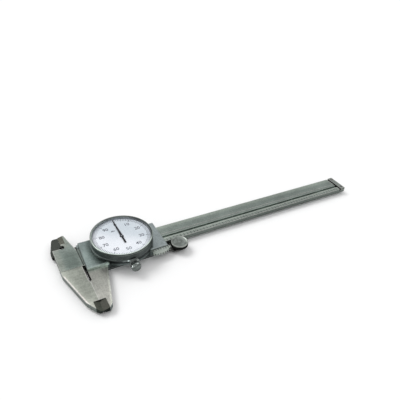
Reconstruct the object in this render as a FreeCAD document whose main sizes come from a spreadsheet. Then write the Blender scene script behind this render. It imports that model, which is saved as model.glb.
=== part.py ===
import FreeCAD, Part
import math
import os
import Sketcher

# A dial caliper lying on its back. The frame has its origin on the back face of
# the slider, right below the axis of the dial, with +X along the beam towards
# its free end, +Y towards the inside jaws and +Z up through the dial.
# Outlines are drawn from the plane where the outside jaws meet, so every
# sub-part is placed one dial_offset to the left.

doc = FreeCAD.newDocument("dial_caliper")
sheet = doc.addObject("Spreadsheet::Sheet", "Dim")

# The driving sizes, in millimetres unless the name says otherwise.
SIZES = {
    # beam and fixed jaw
    "beam_width": 16.0,
    "beam_thickness": 3.5,
    "beam_reach": 214.6,
    "head_length": 13.7,
    "head_rise": 4.6,
    "edge_bevel": 0.25,
    "jaw_step": 0.12,
    "jaw_depth": 38.1,
    "jaw_shoulder_drop": 3.5,
    "jaw_waist": 7.2,
    "jaw_waist_height": 8.5,
    "jaw_tip_width": 3.8,
    "jaw_tip_height": 2.6,
    "jaw_tip_flat": 1.6,
    "relief_half_width": 0.8,
    "relief_length": 14.6,
    "relief_straight": 8.0,
    "relief_tip_half_width": 0.15,
    "knife_width": 3.5,
    "slider_knife_width": 3.8,
    "knife_length": 7.7,
    "knife_depth": 1.15,
    # inside jaws, which cross in two half thicknesses
    "nib_depth": 17.0,
    "nib_offset": 7.5,
    "nib_tip_width": 3.8,
    "nib_relief_radius": 1.1,
    "nib_lap_rise": 0.6,
    "nib_knife_width": 2.9,
    "nib_knife_length": 8.2,
    "rear_nib_tip_width": 4.4,
    "rear_nib_slant": 1.2,
    "nib_knife_depth": 0.8,
    "nib_gap": 0.1,
    # slider
    "slide_gap": 0.05,
    "slider_reach": 54.4,
    "slider_start": 1.0,
    "plate_start": 2.2,
    "plate_slant": 1.3,
    "plate_rise": 1.9,
    "plate_bevel": 0.5,
    "top_wall": 3.0,
    "bottom_wall": 5.45,
    "slider_jaw_tip": 3.9,
    "slider_jaw_tip_side": 6.1,
    "slider_jaw_root": 13.6,
    "cover_thickness": 1.5,
    "cover_bevel": 0.4,
    "gib_thickness": 0.9,
    "gib_height": 2.8,
    "gib_inset": 5.0,
    "thumb_rest_length": 13.0,
    "thumb_rest_overhang": 1.2,
    "thumb_rest_step": 0.9,
    "thumb_rest_depth": 4.8,
    "thumb_rest_thickness": 1.5,
    "thumb_rest_crown": 4.9,
    "thumb_rest_bend": 12.0,
    "thumb_rest_slant": 0.4,
    "serration_pitch": 0.9,
    "serration_depth": 0.25,
    "serration_half_width": 0.2,
    "serration_length": 1.5,
    "serration_inset": 1.2,
    # rack, pinion and wheels
    "groove_start": 14.0,
    "groove_low": 4.75,
    "groove_high": 0.5,
    "groove_depth": 1.0,
    "rack_inset": 0.1,
    "rack_pitch": 0.635,
    "rack_pinion_teeth": 10,
    "rack_backlash": 0.03,
    "tooth_addendum": 0.8,
    "tooth_dedendum": 1.05,
    "pinion_wall_gap": 0.13,
    "tooth_module": 0.2,
    "wheel_teeth": 40,
    "centre_teeth": 16,
    "wheel_backlash": 0.05,
    "wheel_thickness": 0.6,
    "wheel_lift": 0.4,
    "arbor_radius": 0.6,
    "pivot_radius": 0.45,
    "running_gap": 0.03,
    # movement
    "dial_offset": 28.0,
    "boss_inset": 0.5,
    "recess_gap": 1.9,
    "boss_rise": 1.2,
    "boss_underside": 1.4,
    "movement_plate_thickness": 1.0,
    "bridge_rim": 1.4,
    "bridge_thickness": 0.8,
    "pillar_height": 1.9,
    "pillar_radius": 1.1,
    "pillar_gap": 0.34,
    "movement_screw_grip": 1.5,
    "small_screw_radius": 0.6,
    "small_screw_head_radius": 1.1,
    "small_screw_head_height": 0.5,
    "hairspring_turns": 3,
    "hairspring_strip": 0.12,
    "hairspring_width": 0.4,
    "hairspring_inner": 1.0,
    "hairspring_outer": 3.4,
    "stud_radius": 0.35,
    "bush_radius": 1.0,
    # dial and bezel
    "bezel_radius": 20.0,
    "bezel_height": 6.0,
    "bezel_wall": 1.3,
    "bezel_bevel": 0.45,
    "bezel_lip": 0.8,
    "bezel_rim": 0.95,
    "bezel_waist": 0.35,
    "bezel_lift": 0.2,
    "case_height": 3.2,
    "case_wall": 1.3,
    "dial_plate_thickness": 0.4,
    "dial_face_height": 7.5,
    "dial_ledge": 1.1,
    "dial_ledge_thickness": 0.35,
    "crystal_ring_wall": 0.4,
    "crystal_ring_height": 1.0,
    "crystal_thickness": 0.65,
    "crystal_dome": 0.3,
    "needle_tip_gap": 1.9,
    "needle_tail": 5.6,
    "needle_thickness": 0.2,
    "needle_lift": 0.35,
    "needle_half_width": 0.55,
    "needle_tip_half_width": 0.12,
    "needle_tail_half_width": 0.4,
    "needle_eye_radius": 1.6,
    "hub_radius": 1.25,
    "hub_height": 0.6,
    "dial_hole_gap": 0.4,
    # screws on the edges
    "lock_screw_along": 28.0,
    "lock_screw_radius": 1.25,
    "lock_head_radius": 2.0,
    "lock_head_length": 4.0,
    "head_gap": 0.3,
    "gib_screw_radius": 1.0,
    "gib_screw_inset": 6.0,
    "clamp_screw_radius": 1.2,
    "clamp_screw_web": 0.5,
    "clamp_head_radius": 3.0,
    "clamp_head_length": 4.0,
    "clamp_shoe_width": 4.0,
    "clamp_shoe_depth": 1.6,
    "knob_bevel": 0.5,
    # thumb roller
    "roller_radius": 5.8,
    "roller_gap": 2.3,
    "roller_thickness": 3.0,
    "roller_rise": 1.9,
    "roller_hub_radius": 2.9,
    "roller_bevel": 0.4,
    "roller_rim": 1.0,
    "roller_dish": 0.3,
    "roller_pin_radius": 1.2,
    "roller_pin_depth": 3.2,
    "arm_thickness": 1.0,
    "arm_half_width": 3.2,
    "arm_root": 9.0,
    "arm_side_gap": 0.9,
    # depth rod
    "rod_width": 2.8,
    "rod_thickness": 1.6,
    "rod_offset": 2.4,
    "rod_start": 18.0,
    "rod_gap": 0.1,
    "rod_notch": 1.0,
    "rod_notch_length": 2.0,
    # end stop
    "stop_seat": 5.3,
    "stop_gap": 1.3,
    "stop_seat_depth": 1.2,
    "stop_rise": 0.3,
    "stop_screw_radius": 0.8,
    "stop_screw_head_radius": 1.4,
    "stop_screw_spread": 5.6,
    "stop_screw_grip": 1.3,
    "stop_screw_shelf": 0.8,
    # back cover screws
    "cover_screw_radius": 1.0,
    "cover_screw_head_radius": 1.9,
    "cover_screw_inset": 5.0,
    "cover_screw_grip": 2.6,
    "cover_screw_shelf": 0.6,
    "slot_width": 0.45,
    "slot_depth": 0.35,
}

for row, (alias, value) in enumerate(SIZES.items(), start=1):
    sheet.set("A%d" % row, alias)
    sheet.set("B%d" % row, str(value))
    sheet.setAlias("B%d" % row, alias)
doc.recompute()


class Size:
    """A length that carries its expression on the sheet along with its value."""

    def __init__(self, text, value):
        self.text = text
        self.value = float(value)

    def __add__(self, other):
        other = as_size(other)
        return Size("(%s + %s)" % (self.text, other.text), self.value + other.value)

    def __sub__(self, other):
        other = as_size(other)
        return Size("(%s - %s)" % (self.text, other.text), self.value - other.value)

    def __mul__(self, other):
        other = as_size(other)
        return Size("(%s * %s)" % (self.text, other.text), self.value * other.value)

    def __truediv__(self, other):
        other = as_size(other)
        return Size("(%s / %s)" % (self.text, other.text), self.value / other.value)

    def __neg__(self):
        return Size("(0 - %s)" % self.text, -self.value)

    __radd__ = __add__

    def __rsub__(self, other):
        return as_size(other) - self

    def __rmul__(self, other):
        return self * other


def as_size(value):
    return value if isinstance(value, Size) else Size(repr(float(value)), value)


def root_of(value):
    return Size("sqrt(%s)" % value.text, math.sqrt(value.value))


class Sheet:
    """The sheet's cells, read as sizes by their alias."""

    def __getattr__(self, alias):
        return Size("Dim." + alias, sheet.get(alias))


d = Sheet()
NOWHERE = as_size(0.0)
SUBPARTS = []

# Tooth flank angle in degrees, steps in one turn of the hairspring, and where
# along its radius the domed crystal is measured.
PRESSURE_ANGLE = 20.0
SPIRAL_STEPS = 20
ARC_STEPS = 6
DOME_SHARES = (0.75, 0.5, 0.25)


def subpart(item, along=NOWHERE, across=NOWHERE, height=NOWHERE):
    """Keeps a finished sub-part and places it in the part's frame."""
    item.setExpression("Placement.Base.x", (along - d.dial_offset).text)
    item.setExpression("Placement.Base.y", as_size(across).text)
    item.setExpression("Placement.Base.z", as_size(height).text)
    SUBPARTS.append(item)
    return item


def new_body(name):
    body = doc.addObject("PartDesign::Body", name)
    body.Label = name
    return body


def attach(feature, body, role, lift):
    plane = [f for f in body.Origin.OriginFeatures if f.Role == role][0]
    feature.AttachmentSupport = (plane, [""])
    feature.MapMode = "FlatFace"
    feature.setExpression("AttachmentOffset.Base.z", as_size(lift).text)


def new_sketch(body, name, role="XY_Plane", lift=NOWHERE):
    sketch = body.newObject("Sketcher::SketchObject", name + "_sketch")
    attach(sketch, body, role, lift)
    return sketch


def pin_point(sketch, edge, point, kind, size):
    index = sketch.addConstraint(Sketcher.Constraint(kind, -1, 1, edge, point, size.value))
    sketch.setExpression("Constraints[%d]" % index, size.text)


def draw_outline(sketch, corners):
    """A closed run of straight lines whose corners are all bound to sizes."""
    corners = [(as_size(x), as_size(y)) for x, y in corners]
    spots = [FreeCAD.Vector(x.value, y.value, 0) for x, y in corners]
    count = len(spots)
    for index in range(count):
        sketch.addGeometry(Part.LineSegment(spots[index], spots[(index + 1) % count]), False)
    for index in range(count):
        sketch.addConstraint(Sketcher.Constraint("Coincident", index, 2, (index + 1) % count, 1))
    for index, (x, y) in enumerate(corners):
        pin_point(sketch, index, 1, "DistanceX", x)
        pin_point(sketch, index, 1, "DistanceY", y)


def draw_circle(sketch, x, y, radius):
    x, y, radius = as_size(x), as_size(y), as_size(radius)
    centre = FreeCAD.Vector(x.value, y.value, 0)
    axis = FreeCAD.Vector(0, 0, 1)
    index = sketch.addGeometry(Part.Circle(centre, axis, radius.value), False)
    pin_point(sketch, index, 3, "DistanceX", x)
    pin_point(sketch, index, 3, "DistanceY", y)
    bound = sketch.addConstraint(Sketcher.Constraint("Radius", index, radius.value))
    sketch.setExpression("Constraints[%d]" % bound, radius.text)


def pad(body, name, low, high, corners=(), circles=()):
    """Adds a plate between two heights, from an outline or from circles."""
    sketch = new_sketch(body, name, lift=low)
    if corners:
        draw_outline(sketch, corners)
    for circle in circles:
        draw_circle(sketch, *circle)
    feature = body.newObject("PartDesign::Pad", name)
    feature.Profile = sketch
    feature.setExpression("Length", (as_size(high) - low).text)
    return feature


def pocket(body, name, low, high, corners=(), circles=()):
    """Cuts straight down from one height to another."""
    sketch = new_sketch(body, name, lift=high)
    if corners:
        draw_outline(sketch, corners)
    for circle in circles:
        draw_circle(sketch, *circle)
    feature = body.newObject("PartDesign::Pocket", name)
    feature.Profile = sketch
    feature.setExpression("Length", (as_size(high) - low).text)
    return feature


def side_cut(body, name, near, far, corners=(), circles=()):
    """Cuts along Y, between two distances from the beam's centre line."""
    sketch = new_sketch(body, name, role="XZ_Plane", lift=-as_size(near))
    if corners:
        draw_outline(sketch, corners)
    for circle in circles:
        draw_circle(sketch, *circle)
    feature = body.newObject("PartDesign::Pocket", name)
    feature.Profile = sketch
    feature.setExpression("Length", (as_size(far) - near).text)
    return feature


def turned(name, profile):
    """A body turned about Z from a half profile of (radius, height) corners."""
    body = new_body(name)
    sketch = new_sketch(body, name, role="XZ_Plane")
    draw_outline(sketch, profile)
    feature = body.newObject("PartDesign::Revolution", name + "_turning")
    feature.Profile = sketch
    feature.ReferenceAxis = (sketch, ["V_Axis"])
    feature.Angle = 360.0
    return body


def bevel(body, name, base, size, spots):
    """Bevels each edge of a feature that passes through one of the given spots."""
    doc.recompute()
    edges = base.Shape.Edges
    names = set()
    for x, y, z in spots:
        spot = Part.Vertex(as_size(x).value, as_size(y).value, as_size(z).value)
        nearest = min(range(len(edges)), key=lambda index: edges[index].distToShape(spot)[0])
        names.add("Edge%d" % (nearest + 1))
    feature = body.newObject("PartDesign::Chamfer", name)
    feature.Base = (base, sorted(names))
    feature.setExpression("Size", size.text)
    return feature


def halfway(start, end):
    return tuple((a + b) / 2 for a, b in zip(start, end))


def box(low_x, low_y, low_z, high_x, high_y, high_z):
    corners = [
        (low_x, low_y),
        (high_x, low_y),
        (high_x, high_y),
        (low_x, high_y),
    ]
    return {"low": low_z, "high": high_z, "corners": corners}


# Levels and lines that several pieces share.
half_width = d.beam_width / 2
beam_back = d.cover_thickness + d.slide_gap
beam_front = beam_back + d.beam_thickness
beam_middle = (beam_back + beam_front) / 2
jaw_front = beam_front - d.jaw_step
channel_front = beam_front + d.slide_gap
plate_top = beam_front + d.plate_rise
boss_top = plate_top + d.boss_rise
boss_radius = d.bezel_radius - d.boss_inset
jaw_end = half_width + d.jaw_depth
nib_end = half_width + d.nib_depth
nib_plane = -d.nib_offset
nib_lap = beam_middle + d.nib_lap_rise
head_top = half_width + d.head_rise
channel_bottom = -(half_width + d.slide_gap)
slider_bottom = channel_bottom - d.bottom_wall
channel_top = half_width + d.slide_gap + d.gib_thickness
slider_top = channel_top + d.top_wall
relief_end = half_width + d.relief_length - d.relief_half_width

# The pinion runs in the groove, with the rack above it. Its wheel drives the
# centre pinion, so both centre distances follow from the tooth counts.
rack_module = d.rack_pitch / math.pi
pinion_pitch = rack_module * d.rack_pinion_teeth / 2
pinion_tip = pinion_pitch + rack_module * d.tooth_addendum
wheel_pitch = d.tooth_module * d.wheel_teeth / 2
centre_pitch = d.tooth_module * d.centre_teeth / 2
centre_distance = wheel_pitch + centre_pitch
wheel_tip = wheel_pitch + d.tooth_module * d.tooth_addendum
arbor_across = pinion_tip + d.pinion_wall_gap - d.groove_low
arbor_shift = root_of(centre_distance * centre_distance - arbor_across * arbor_across)
arbor_along = d.dial_offset - arbor_shift
rack_line = arbor_across + pinion_pitch
take_up_along = d.dial_offset + arbor_shift

# The pillars stand clear of the outer wheels, and the bridge, the recess around
# it and the round seat follow from them. The first pillar lies towards the arbor.
pillar_circle = centre_distance + wheel_tip + d.pillar_gap + d.pillar_radius
bridge_radius = pillar_circle + d.bridge_rim
boss_recess_radius = bridge_radius + d.recess_gap
towards_x = -arbor_shift / centre_distance
towards_y = arbor_across / centre_distance
towards_angle = math.atan2(towards_y.value, towards_x.value)
pillar_spots = [
    (towards_x * pillar_circle, towards_y * pillar_circle),
    (-towards_y * pillar_circle, towards_x * pillar_circle),
    (towards_y * pillar_circle, -towards_x * pillar_circle),
]
movement_top = plate_top + d.movement_plate_thickness
bridge_back = movement_top + d.pillar_height
bridge_top = bridge_back + d.bridge_thickness
wheel_back = movement_top + d.wheel_lift
wheel_front = wheel_back + d.wheel_thickness
movement_screw_end = plate_top - d.movement_screw_grip

# The bezel turns on the case ring and carries the dial plate on its ledge.
bezel_back = boss_top + d.bezel_lift
bezel_top = bezel_back + d.bezel_height
face_radius = d.bezel_radius - d.bezel_wall
needle_reach = face_radius - d.needle_tip_gap
dial_face = beam_front + d.dial_face_height
dial_back = dial_face - d.dial_plate_thickness
crystal_back = dial_face + d.crystal_ring_height
needle_back = dial_face + d.needle_lift
hub_back = dial_face + d.slide_gap * 2
hub_top = hub_back + d.hub_height

# The clamp screw, thumb roller, arm and cover screws at the slider's edges.
clamp_height = (boss_top + plate_top - d.boss_underside) / 2
clamp_screw_end = boss_recess_radius + d.clamp_screw_web
roller_along = d.slider_reach + d.roller_gap + d.roller_radius
roller_across = -(half_width + d.roller_radius + d.slide_gap)
arm_top = d.cover_thickness + d.arm_thickness
arm_start = d.slider_reach - d.arm_root
arm_side = channel_bottom - d.arm_side_gap
gib_screw_spots = (
    d.plate_start + d.gib_inset + d.gib_screw_inset,
    d.slider_reach - d.gib_inset - d.gib_screw_inset,
)
cover_screw_spots = [
    (x, y)
    for x in (d.plate_start + d.cover_screw_inset, d.slider_reach - d.cover_screw_inset)
    for y in (slider_bottom + d.bottom_wall / 2, slider_top - d.top_wall / 2)
]
thumb_rest_end = d.slider_reach + d.thumb_rest_overhang
thumb_rest_start = thumb_rest_end - d.thumb_rest_length
serration_start = thumb_rest_start + d.serration_inset
serration_run = d.slider_reach - d.serration_inset - serration_start


def thumb_rest_edge():
    """The thumb rest's lower edge, an arc in even steps from left to right."""
    centre_along = thumb_rest_start + d.thumb_rest_crown
    centre_across = slider_bottom - d.thumb_rest_depth + d.thumb_rest_bend
    corners = []
    for step in range(ARC_STEPS + 1):
        along = thumb_rest_start + d.thumb_rest_length * step / ARC_STEPS
        aside = along - centre_along
        drop = root_of(d.thumb_rest_bend * d.thumb_rest_bend - aside * aside)
        corners.append((along, centre_across - drop))
    return corners


def prism(corners, floor, height):
    spots = [FreeCAD.Vector(x, y, floor) for x, y in corners]
    face = Part.Face(Part.makePolygon(spots + spots[:1]))
    return face.extrude(FreeCAD.Vector(0, 0, height))


def feature_of(name, shape):
    item = doc.addObject("Part::Feature", name)
    item.Label = name
    item.Shape = shape
    return item


def turning(profile):
    """A solid of revolution about Z from (radius, height) corners."""
    spots = [FreeCAD.Vector(r.value, 0, z.value) for r, z in profile]
    face = Part.Face(Part.makePolygon(spots + spots[:1]))
    return face.revolve(FreeCAD.Vector(0, 0, 0), FreeCAD.Vector(0, 0, 1), 360)


def toothed_disc(teeth, module, backlash, turn, floor, height):
    """A spur wheel whose first tooth points along the angle given by turn."""
    teeth = int(round(teeth))
    pitch_radius = module * teeth / 2
    tip = pitch_radius + module * d.tooth_addendum.value
    foot = pitch_radius - module * d.tooth_dedendum.value
    half = (math.pi * module / 2 - backlash) / 2
    lean = math.tan(math.radians(PRESSURE_ANGLE))
    tip_half = (half - (tip - pitch_radius) * lean) / tip
    foot_half = (half + (pitch_radius - foot) * lean) / foot
    corners = []
    for number in range(teeth):
        middle = turn + math.tau * number / teeth
        for radius, offset in ((foot, -foot_half), (tip, -tip_half), (tip, tip_half), (foot, foot_half)):
            angle = middle + offset
            corners.append((radius * math.cos(angle), radius * math.sin(angle)))
    return prism(corners, floor, height)


def arbor_profile(low, shoulder, step, high):
    """Lower pivot, body between the plates and upper pivot, on one axis."""
    play = d.slide_gap
    return [
        (NOWHERE, low),
        (d.pivot_radius, low),
        (d.pivot_radius, shoulder + play),
        (d.arbor_radius, shoulder + play),
        (d.arbor_radius, step - play),
        (d.pivot_radius, step - play),
        (d.pivot_radius, high),
        (NOWHERE, high),
    ]


def ring(name, inner, outer, low, high):
    return turned(name, [(inner, low), (outer, low), (outer, high), (inner, high)])


def cylinder(name, radius, low, high, along, across):
    item = doc.addObject("Part::Cylinder", name)
    item.setExpression("Radius", as_size(radius).text)
    item.setExpression("Height", (as_size(high) - low).text)
    item.setExpression("Placement.Base.x", as_size(along).text)
    item.setExpression("Placement.Base.y", as_size(across).text)
    item.setExpression("Placement.Base.z", as_size(low).text)
    return item


def join(kind, name, base, tool):
    item = doc.addObject(kind, name)
    item.Base = base
    item.Tool = tool
    return item


def group(name, pieces):
    item = doc.addObject("Part::Compound", name)
    item.Label = name
    item.Links = pieces
    return subpart(item)


def slotted_screw(name, along, across, shank_end, seat, head_end, radius, head_radius):
    """A screw along Z whose head lies from its seat to head_end, up or down."""
    up = head_end.value > seat.value
    low, high = (shank_end, seat) if up else (seat, shank_end)
    head_low, head_high = (seat, head_end) if up else (head_end, seat)
    shank = cylinder(name + "_shank", radius, low, high, along, across)
    head = cylinder(name + "_head", head_radius, head_low, head_high, along, across)
    blank = join("Part::Fuse", name + "_blank", shank, head)
    slot = doc.addObject("Part::Box", name + "_slot")
    slot.setExpression("Length", (head_radius * 2).text)
    slot.setExpression("Width", d.slot_width.text)
    slot.setExpression("Height", d.slot_depth.text)
    slot.setExpression("Placement.Base.x", (along - head_radius).text)
    slot.setExpression("Placement.Base.y", (across - d.slot_width / 2).text)
    slot_low = head_end - d.slot_depth if up else head_end
    slot.setExpression("Placement.Base.z", slot_low.text)
    return join("Part::Cut", name, blank, slot)


# The beam and the fixed jaw are one hardened and ground piece.
def make_beam():
    body = new_body("beam_with_fixed_jaw")
    shoulder = (-d.head_length, -(half_width + d.jaw_shoulder_drop))
    waist_corner = (-d.jaw_waist, d.jaw_waist_height - jaw_end)
    tip_corner = (-d.jaw_tip_width, d.jaw_tip_height - jaw_end)
    blank = pad(body, "beam_blank", beam_back, beam_front, [
        (-d.head_length, half_width),
        (d.beam_reach, half_width),
        (d.beam_reach, -half_width),
        (NOWHERE, -half_width),
        (NOWHERE, -jaw_end),
        (-d.jaw_tip_flat, -jaw_end),
        tip_corner,
        waist_corner,
        shoulder,
    ])
    lines = [
        (d.beam_reach / 2, half_width),
        (d.beam_reach / 2, -half_width),
        (-d.head_length, NOWHERE),
        halfway(shoulder, waist_corner),
        halfway(waist_corner, tip_corner),
    ]
    bevel(body, "beam_edges", blank, d.edge_bevel, [
        (*spot, height) for spot in lines for height in (beam_front, beam_back)])
    lap = half_width - d.edge_bevel * 2
    pad(body, "beam_nib", nib_lap + d.nib_gap / 2, beam_front, [
        (-d.head_length, lap),
        (-d.head_length, head_top),
        (nib_plane, head_top),
        (nib_plane, nib_end),
        (nib_plane + d.nib_tip_width, nib_end),
        (NOWHERE, half_width),
        (NOWHERE, lap),
    ])
    nib_relief = (nib_plane, head_top + d.nib_relief_radius, d.nib_relief_radius)
    pocket(body, "beam_nib_relief", nib_lap, beam_front, circles=[nib_relief])
    pocket(body, "fixed_jaw_step", **box(
        -d.head_length, -jaw_end, jaw_front, NOWHERE, -half_width, beam_front))
    pocket(body, "beam_relief", **box(
        -d.relief_half_width, -relief_end, beam_back, NOWHERE, -half_width, beam_front))
    pocket(body, "beam_relief_end", beam_back, beam_front,
           circles=[(NOWHERE, -relief_end, d.relief_half_width)])
    pocket(body, "rack_groove", **box(
        d.groove_start, -d.groove_low, beam_front - d.groove_depth,
        d.beam_reach - d.stop_seat, -d.groove_high, beam_front))
    rod_groove_top = d.cover_thickness + d.rod_thickness + d.rod_gap
    rod_side = d.rod_width / 2 + d.rod_gap
    pocket(body, "rod_groove", **box(
        d.rod_start - d.rod_gap, d.rod_offset - rod_side, beam_back,
        d.beam_reach, d.rod_offset + rod_side, rod_groove_top))
    stop_floor = beam_front - d.stop_seat_depth
    pocket(body, "stop_seat_cut", **box(
        d.beam_reach - d.stop_seat, -half_width, stop_floor,
        d.beam_reach, half_width, beam_front))
    screw_along = d.beam_reach - (d.stop_seat - d.stop_gap) / 2
    pocket(body, "stop_screw_holes", stop_floor - d.stop_screw_grip, stop_floor, circles=[
        (screw_along, d.stop_screw_spread, d.stop_screw_radius),
        (screw_along, -d.stop_screw_spread, d.stop_screw_radius),
    ])
    knife_top = d.knife_length - jaw_end
    side_cut(body, "beam_knife_front", -jaw_end, knife_top, [
        (-d.knife_width, jaw_front),
        (NOWHERE, jaw_front),
        (NOWHERE, jaw_front - d.knife_depth),
    ])
    side_cut(body, "beam_knife_back", -jaw_end, knife_top, [
        (-d.knife_width, beam_back),
        (NOWHERE, beam_back),
        (NOWHERE, beam_back + d.knife_depth),
    ])
    side_cut(body, "beam_nib_knife", nib_end - d.nib_knife_length, nib_end, [
        (nib_plane + d.nib_knife_width, beam_front),
        (nib_plane, beam_front),
        (nib_plane, beam_front - d.nib_knife_depth),
    ])
    return subpart(body)


# The slider with its outside jaw, inside nib, raised plate and round dial seat
# is also one piece. It wraps the front and both edges of the beam.
def make_slider():
    body = new_body("sliding_jaw")
    back = d.cover_thickness
    pad(body, "lower_wall", **box(
        d.plate_start, slider_bottom, back, d.slider_reach, channel_bottom, channel_front))
    pad(body, "outside_jaw", back, jaw_front, [
        (NOWHERE, channel_bottom),
        (d.slider_jaw_root, channel_bottom),
        (d.slider_jaw_root, slider_bottom),
        (d.slider_jaw_tip_side, d.jaw_tip_height - jaw_end),
        (d.slider_jaw_tip, -jaw_end),
        (NOWHERE, -jaw_end),
    ])
    plate_low = d.plate_start - d.plate_slant
    plate = pad(body, "plate", channel_front, plate_top, [
        (plate_low, slider_bottom),
        (d.slider_reach, slider_bottom),
        (d.slider_reach, slider_top),
        (d.plate_start, slider_top),
    ])
    across = (slider_bottom + slider_top) / 2
    along = (d.plate_start + d.slider_reach) / 2
    bevel(body, "plate_edges", plate, d.plate_bevel, [
        ((plate_low + d.plate_start) / 2, across, plate_top),
        (d.slider_reach, across, plate_top),
        (along, slider_bottom, plate_top),
        (along, slider_top, plate_top),
    ])
    pad(body, "upper_wall", **box(
        d.slider_start, channel_top, back, d.slider_reach, slider_top, channel_front))
    pad(body, "slider_nib", back, nib_lap - d.nib_gap / 2, [
        (d.slider_start, half_width + d.slide_gap),
        (d.slider_start, slider_top),
        (nib_plane, slider_top),
        (nib_plane, nib_end),
        (nib_plane + d.rear_nib_slant - d.rear_nib_tip_width, nib_end),
        (nib_plane - d.rear_nib_tip_width, nib_end - d.rear_nib_slant),
        (nib_plane * 2, head_top),
        (nib_plane * 2, half_width + d.slide_gap),
    ])
    pocket(body, "slider_nib_relief", back, nib_lap,
           circles=[(nib_plane, head_top + d.nib_relief_radius, d.nib_relief_radius)])
    pad(body, "slider_shoulder", **box(
        d.slider_start, half_width + d.slide_gap, back,
        d.plate_start + d.gib_inset - d.slide_gap, channel_top, beam_front))
    relief_tip = -(half_width + d.relief_length)
    pocket(body, "jaw_relief", back, beam_front, [
        (NOWHERE, channel_bottom),
        (NOWHERE, relief_tip),
        (d.relief_tip_half_width, relief_tip),
        (d.relief_half_width, -(half_width + d.relief_straight)),
        (d.relief_half_width, channel_bottom),
    ])
    knife_top = d.knife_length - jaw_end
    side_cut(body, "jaw_knife_front", -jaw_end, knife_top, [
        (d.slider_knife_width, jaw_front),
        (NOWHERE, jaw_front),
        (NOWHERE, jaw_front - d.knife_depth),
    ])
    side_cut(body, "jaw_knife_back", -jaw_end, knife_top, [
        (d.slider_knife_width, back),
        (NOWHERE, back),
        (NOWHERE, back + d.knife_depth),
    ])
    side_cut(body, "slider_nib_knife", nib_end - d.nib_knife_length, nib_end, [
        (nib_plane - d.nib_knife_width, back),
        (nib_plane, back),
        (nib_plane, back + d.nib_knife_depth),
    ])
    pad(body, "dial_seat", plate_top - d.boss_underside, boss_top,
        circles=[(d.dial_offset, NOWHERE, boss_radius)])
    pocket(body, "dial_seat_recess", plate_top, boss_top,
           circles=[(d.dial_offset, NOWHERE, boss_recess_radius)])
    pocket(body, "pinion_hole", channel_front, plate_top,
           circles=[(arbor_along, arbor_across, pinion_tip + d.pinion_wall_gap)])
    pocket(body, "movement_screw_holes", movement_screw_end, plate_top, circles=[
        (d.dial_offset + x, y, d.small_screw_radius) for x, y in pillar_spots])
    rest_top = plate_top - d.thumb_rest_step
    rest_back = rest_top - d.thumb_rest_thickness
    pad(body, "thumb_rest", rest_back, rest_top, [
        (thumb_rest_start + d.thumb_rest_slant, slider_bottom),
        *thumb_rest_edge(),
        (thumb_rest_end, slider_bottom - d.thumb_rest_step),
        (d.slider_reach, slider_bottom),
    ])
    pocket(body, "arm_seat", **box(
        arm_start, slider_bottom, back, d.slider_reach, arm_side, arm_top))
    pocket(body, "cover_screw_holes", back, back + d.cover_screw_grip, circles=[
        (x, y, d.cover_screw_radius) for x, y in cover_screw_spots])
    side_cut(body, "gib_screw_holes", channel_top, slider_top, circles=[
        (x, beam_middle, d.gib_screw_radius) for x in gib_screw_spots])
    side_cut(body, "lock_screw_hole", channel_top, slider_top, circles=[
        (d.lock_screw_along, beam_middle, d.lock_screw_radius + d.slide_gap)])
    clamp_hole = d.clamp_screw_radius + d.slide_gap
    side_cut(body, "clamp_screw_hole", -boss_radius, -clamp_screw_end, circles=[
        (d.dial_offset, clamp_height, clamp_hole)])
    first = pocket(body, "serration", **box(
        serration_start - d.serration_half_width, slider_bottom - d.serration_length,
        rest_top - d.serration_depth,
        serration_start + d.serration_half_width, slider_bottom, rest_top))
    row = body.newObject("PartDesign::LinearPattern", "serrations")
    row.Originals = [first]
    row.Direction = (first.Profile[0], ["H_Axis"])
    row.setExpression("Length", serration_run.text)
    row.setExpression("Occurrences", "floor(%s) + 1" % (serration_run / d.serration_pitch).text)
    body.Tip = row
    return subpart(body)


# The rack is a hardened strip laid in the groove, with its teeth towards the
# lower edge. A gap between two teeth stands over the pinion when the jaws meet.
def make_rack():
    start = d.groove_start.value
    end = (d.beam_reach - d.stop_seat).value
    pitch = d.rack_pitch.value
    module = rack_module.value
    lean = math.tan(math.radians(PRESSURE_ANGLE))
    tip = rack_line.value - module * d.tooth_addendum.value
    foot = rack_line.value + module * d.tooth_dedendum.value
    half = pitch / 4 - d.rack_backlash.value / 2
    tip_half = half - (rack_line.value - tip) * lean
    foot_half = half + (foot - rack_line.value) * lean
    phase = arbor_along.value + pitch / 2
    first = math.ceil((start + foot_half - phase) / pitch)
    last = math.floor((end - foot_half - phase) / pitch)
    corners = [(end, foot), (end, -d.groove_high.value), (start, -d.groove_high.value), (start, foot)]
    for number in range(first, last + 1):
        tooth = phase + number * pitch
        corners += [(tooth - foot_half, foot), (tooth - tip_half, tip)]
        corners += [(tooth + tip_half, tip), (tooth + foot_half, foot)]
    floor = (beam_front - d.groove_depth).value
    height = (d.groove_depth - d.rack_inset).value
    return subpart(feature_of("rack", prism(corners, floor, height)))


# The rack pinion is cut on a long arbor that passes up through the slider.
def make_rack_pinion():
    floor = beam_front - d.groove_depth + d.rack_inset
    teeth = toothed_disc(
        d.rack_pinion_teeth.value, rack_module.value, d.rack_backlash.value,
        math.pi / 2, floor.value, (beam_front - floor - d.slide_gap).value)
    shaft = turning([
        (NOWHERE, floor),
        (d.arbor_radius, floor),
        (d.arbor_radius, bridge_back - d.slide_gap),
        (d.pivot_radius, bridge_back - d.slide_gap),
        (d.pivot_radius, bridge_top),
        (NOWHERE, bridge_top),
    ])
    return subpart(feature_of("rack_pinion", teeth.fuse(shaft)), arbor_along, arbor_across)


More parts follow.
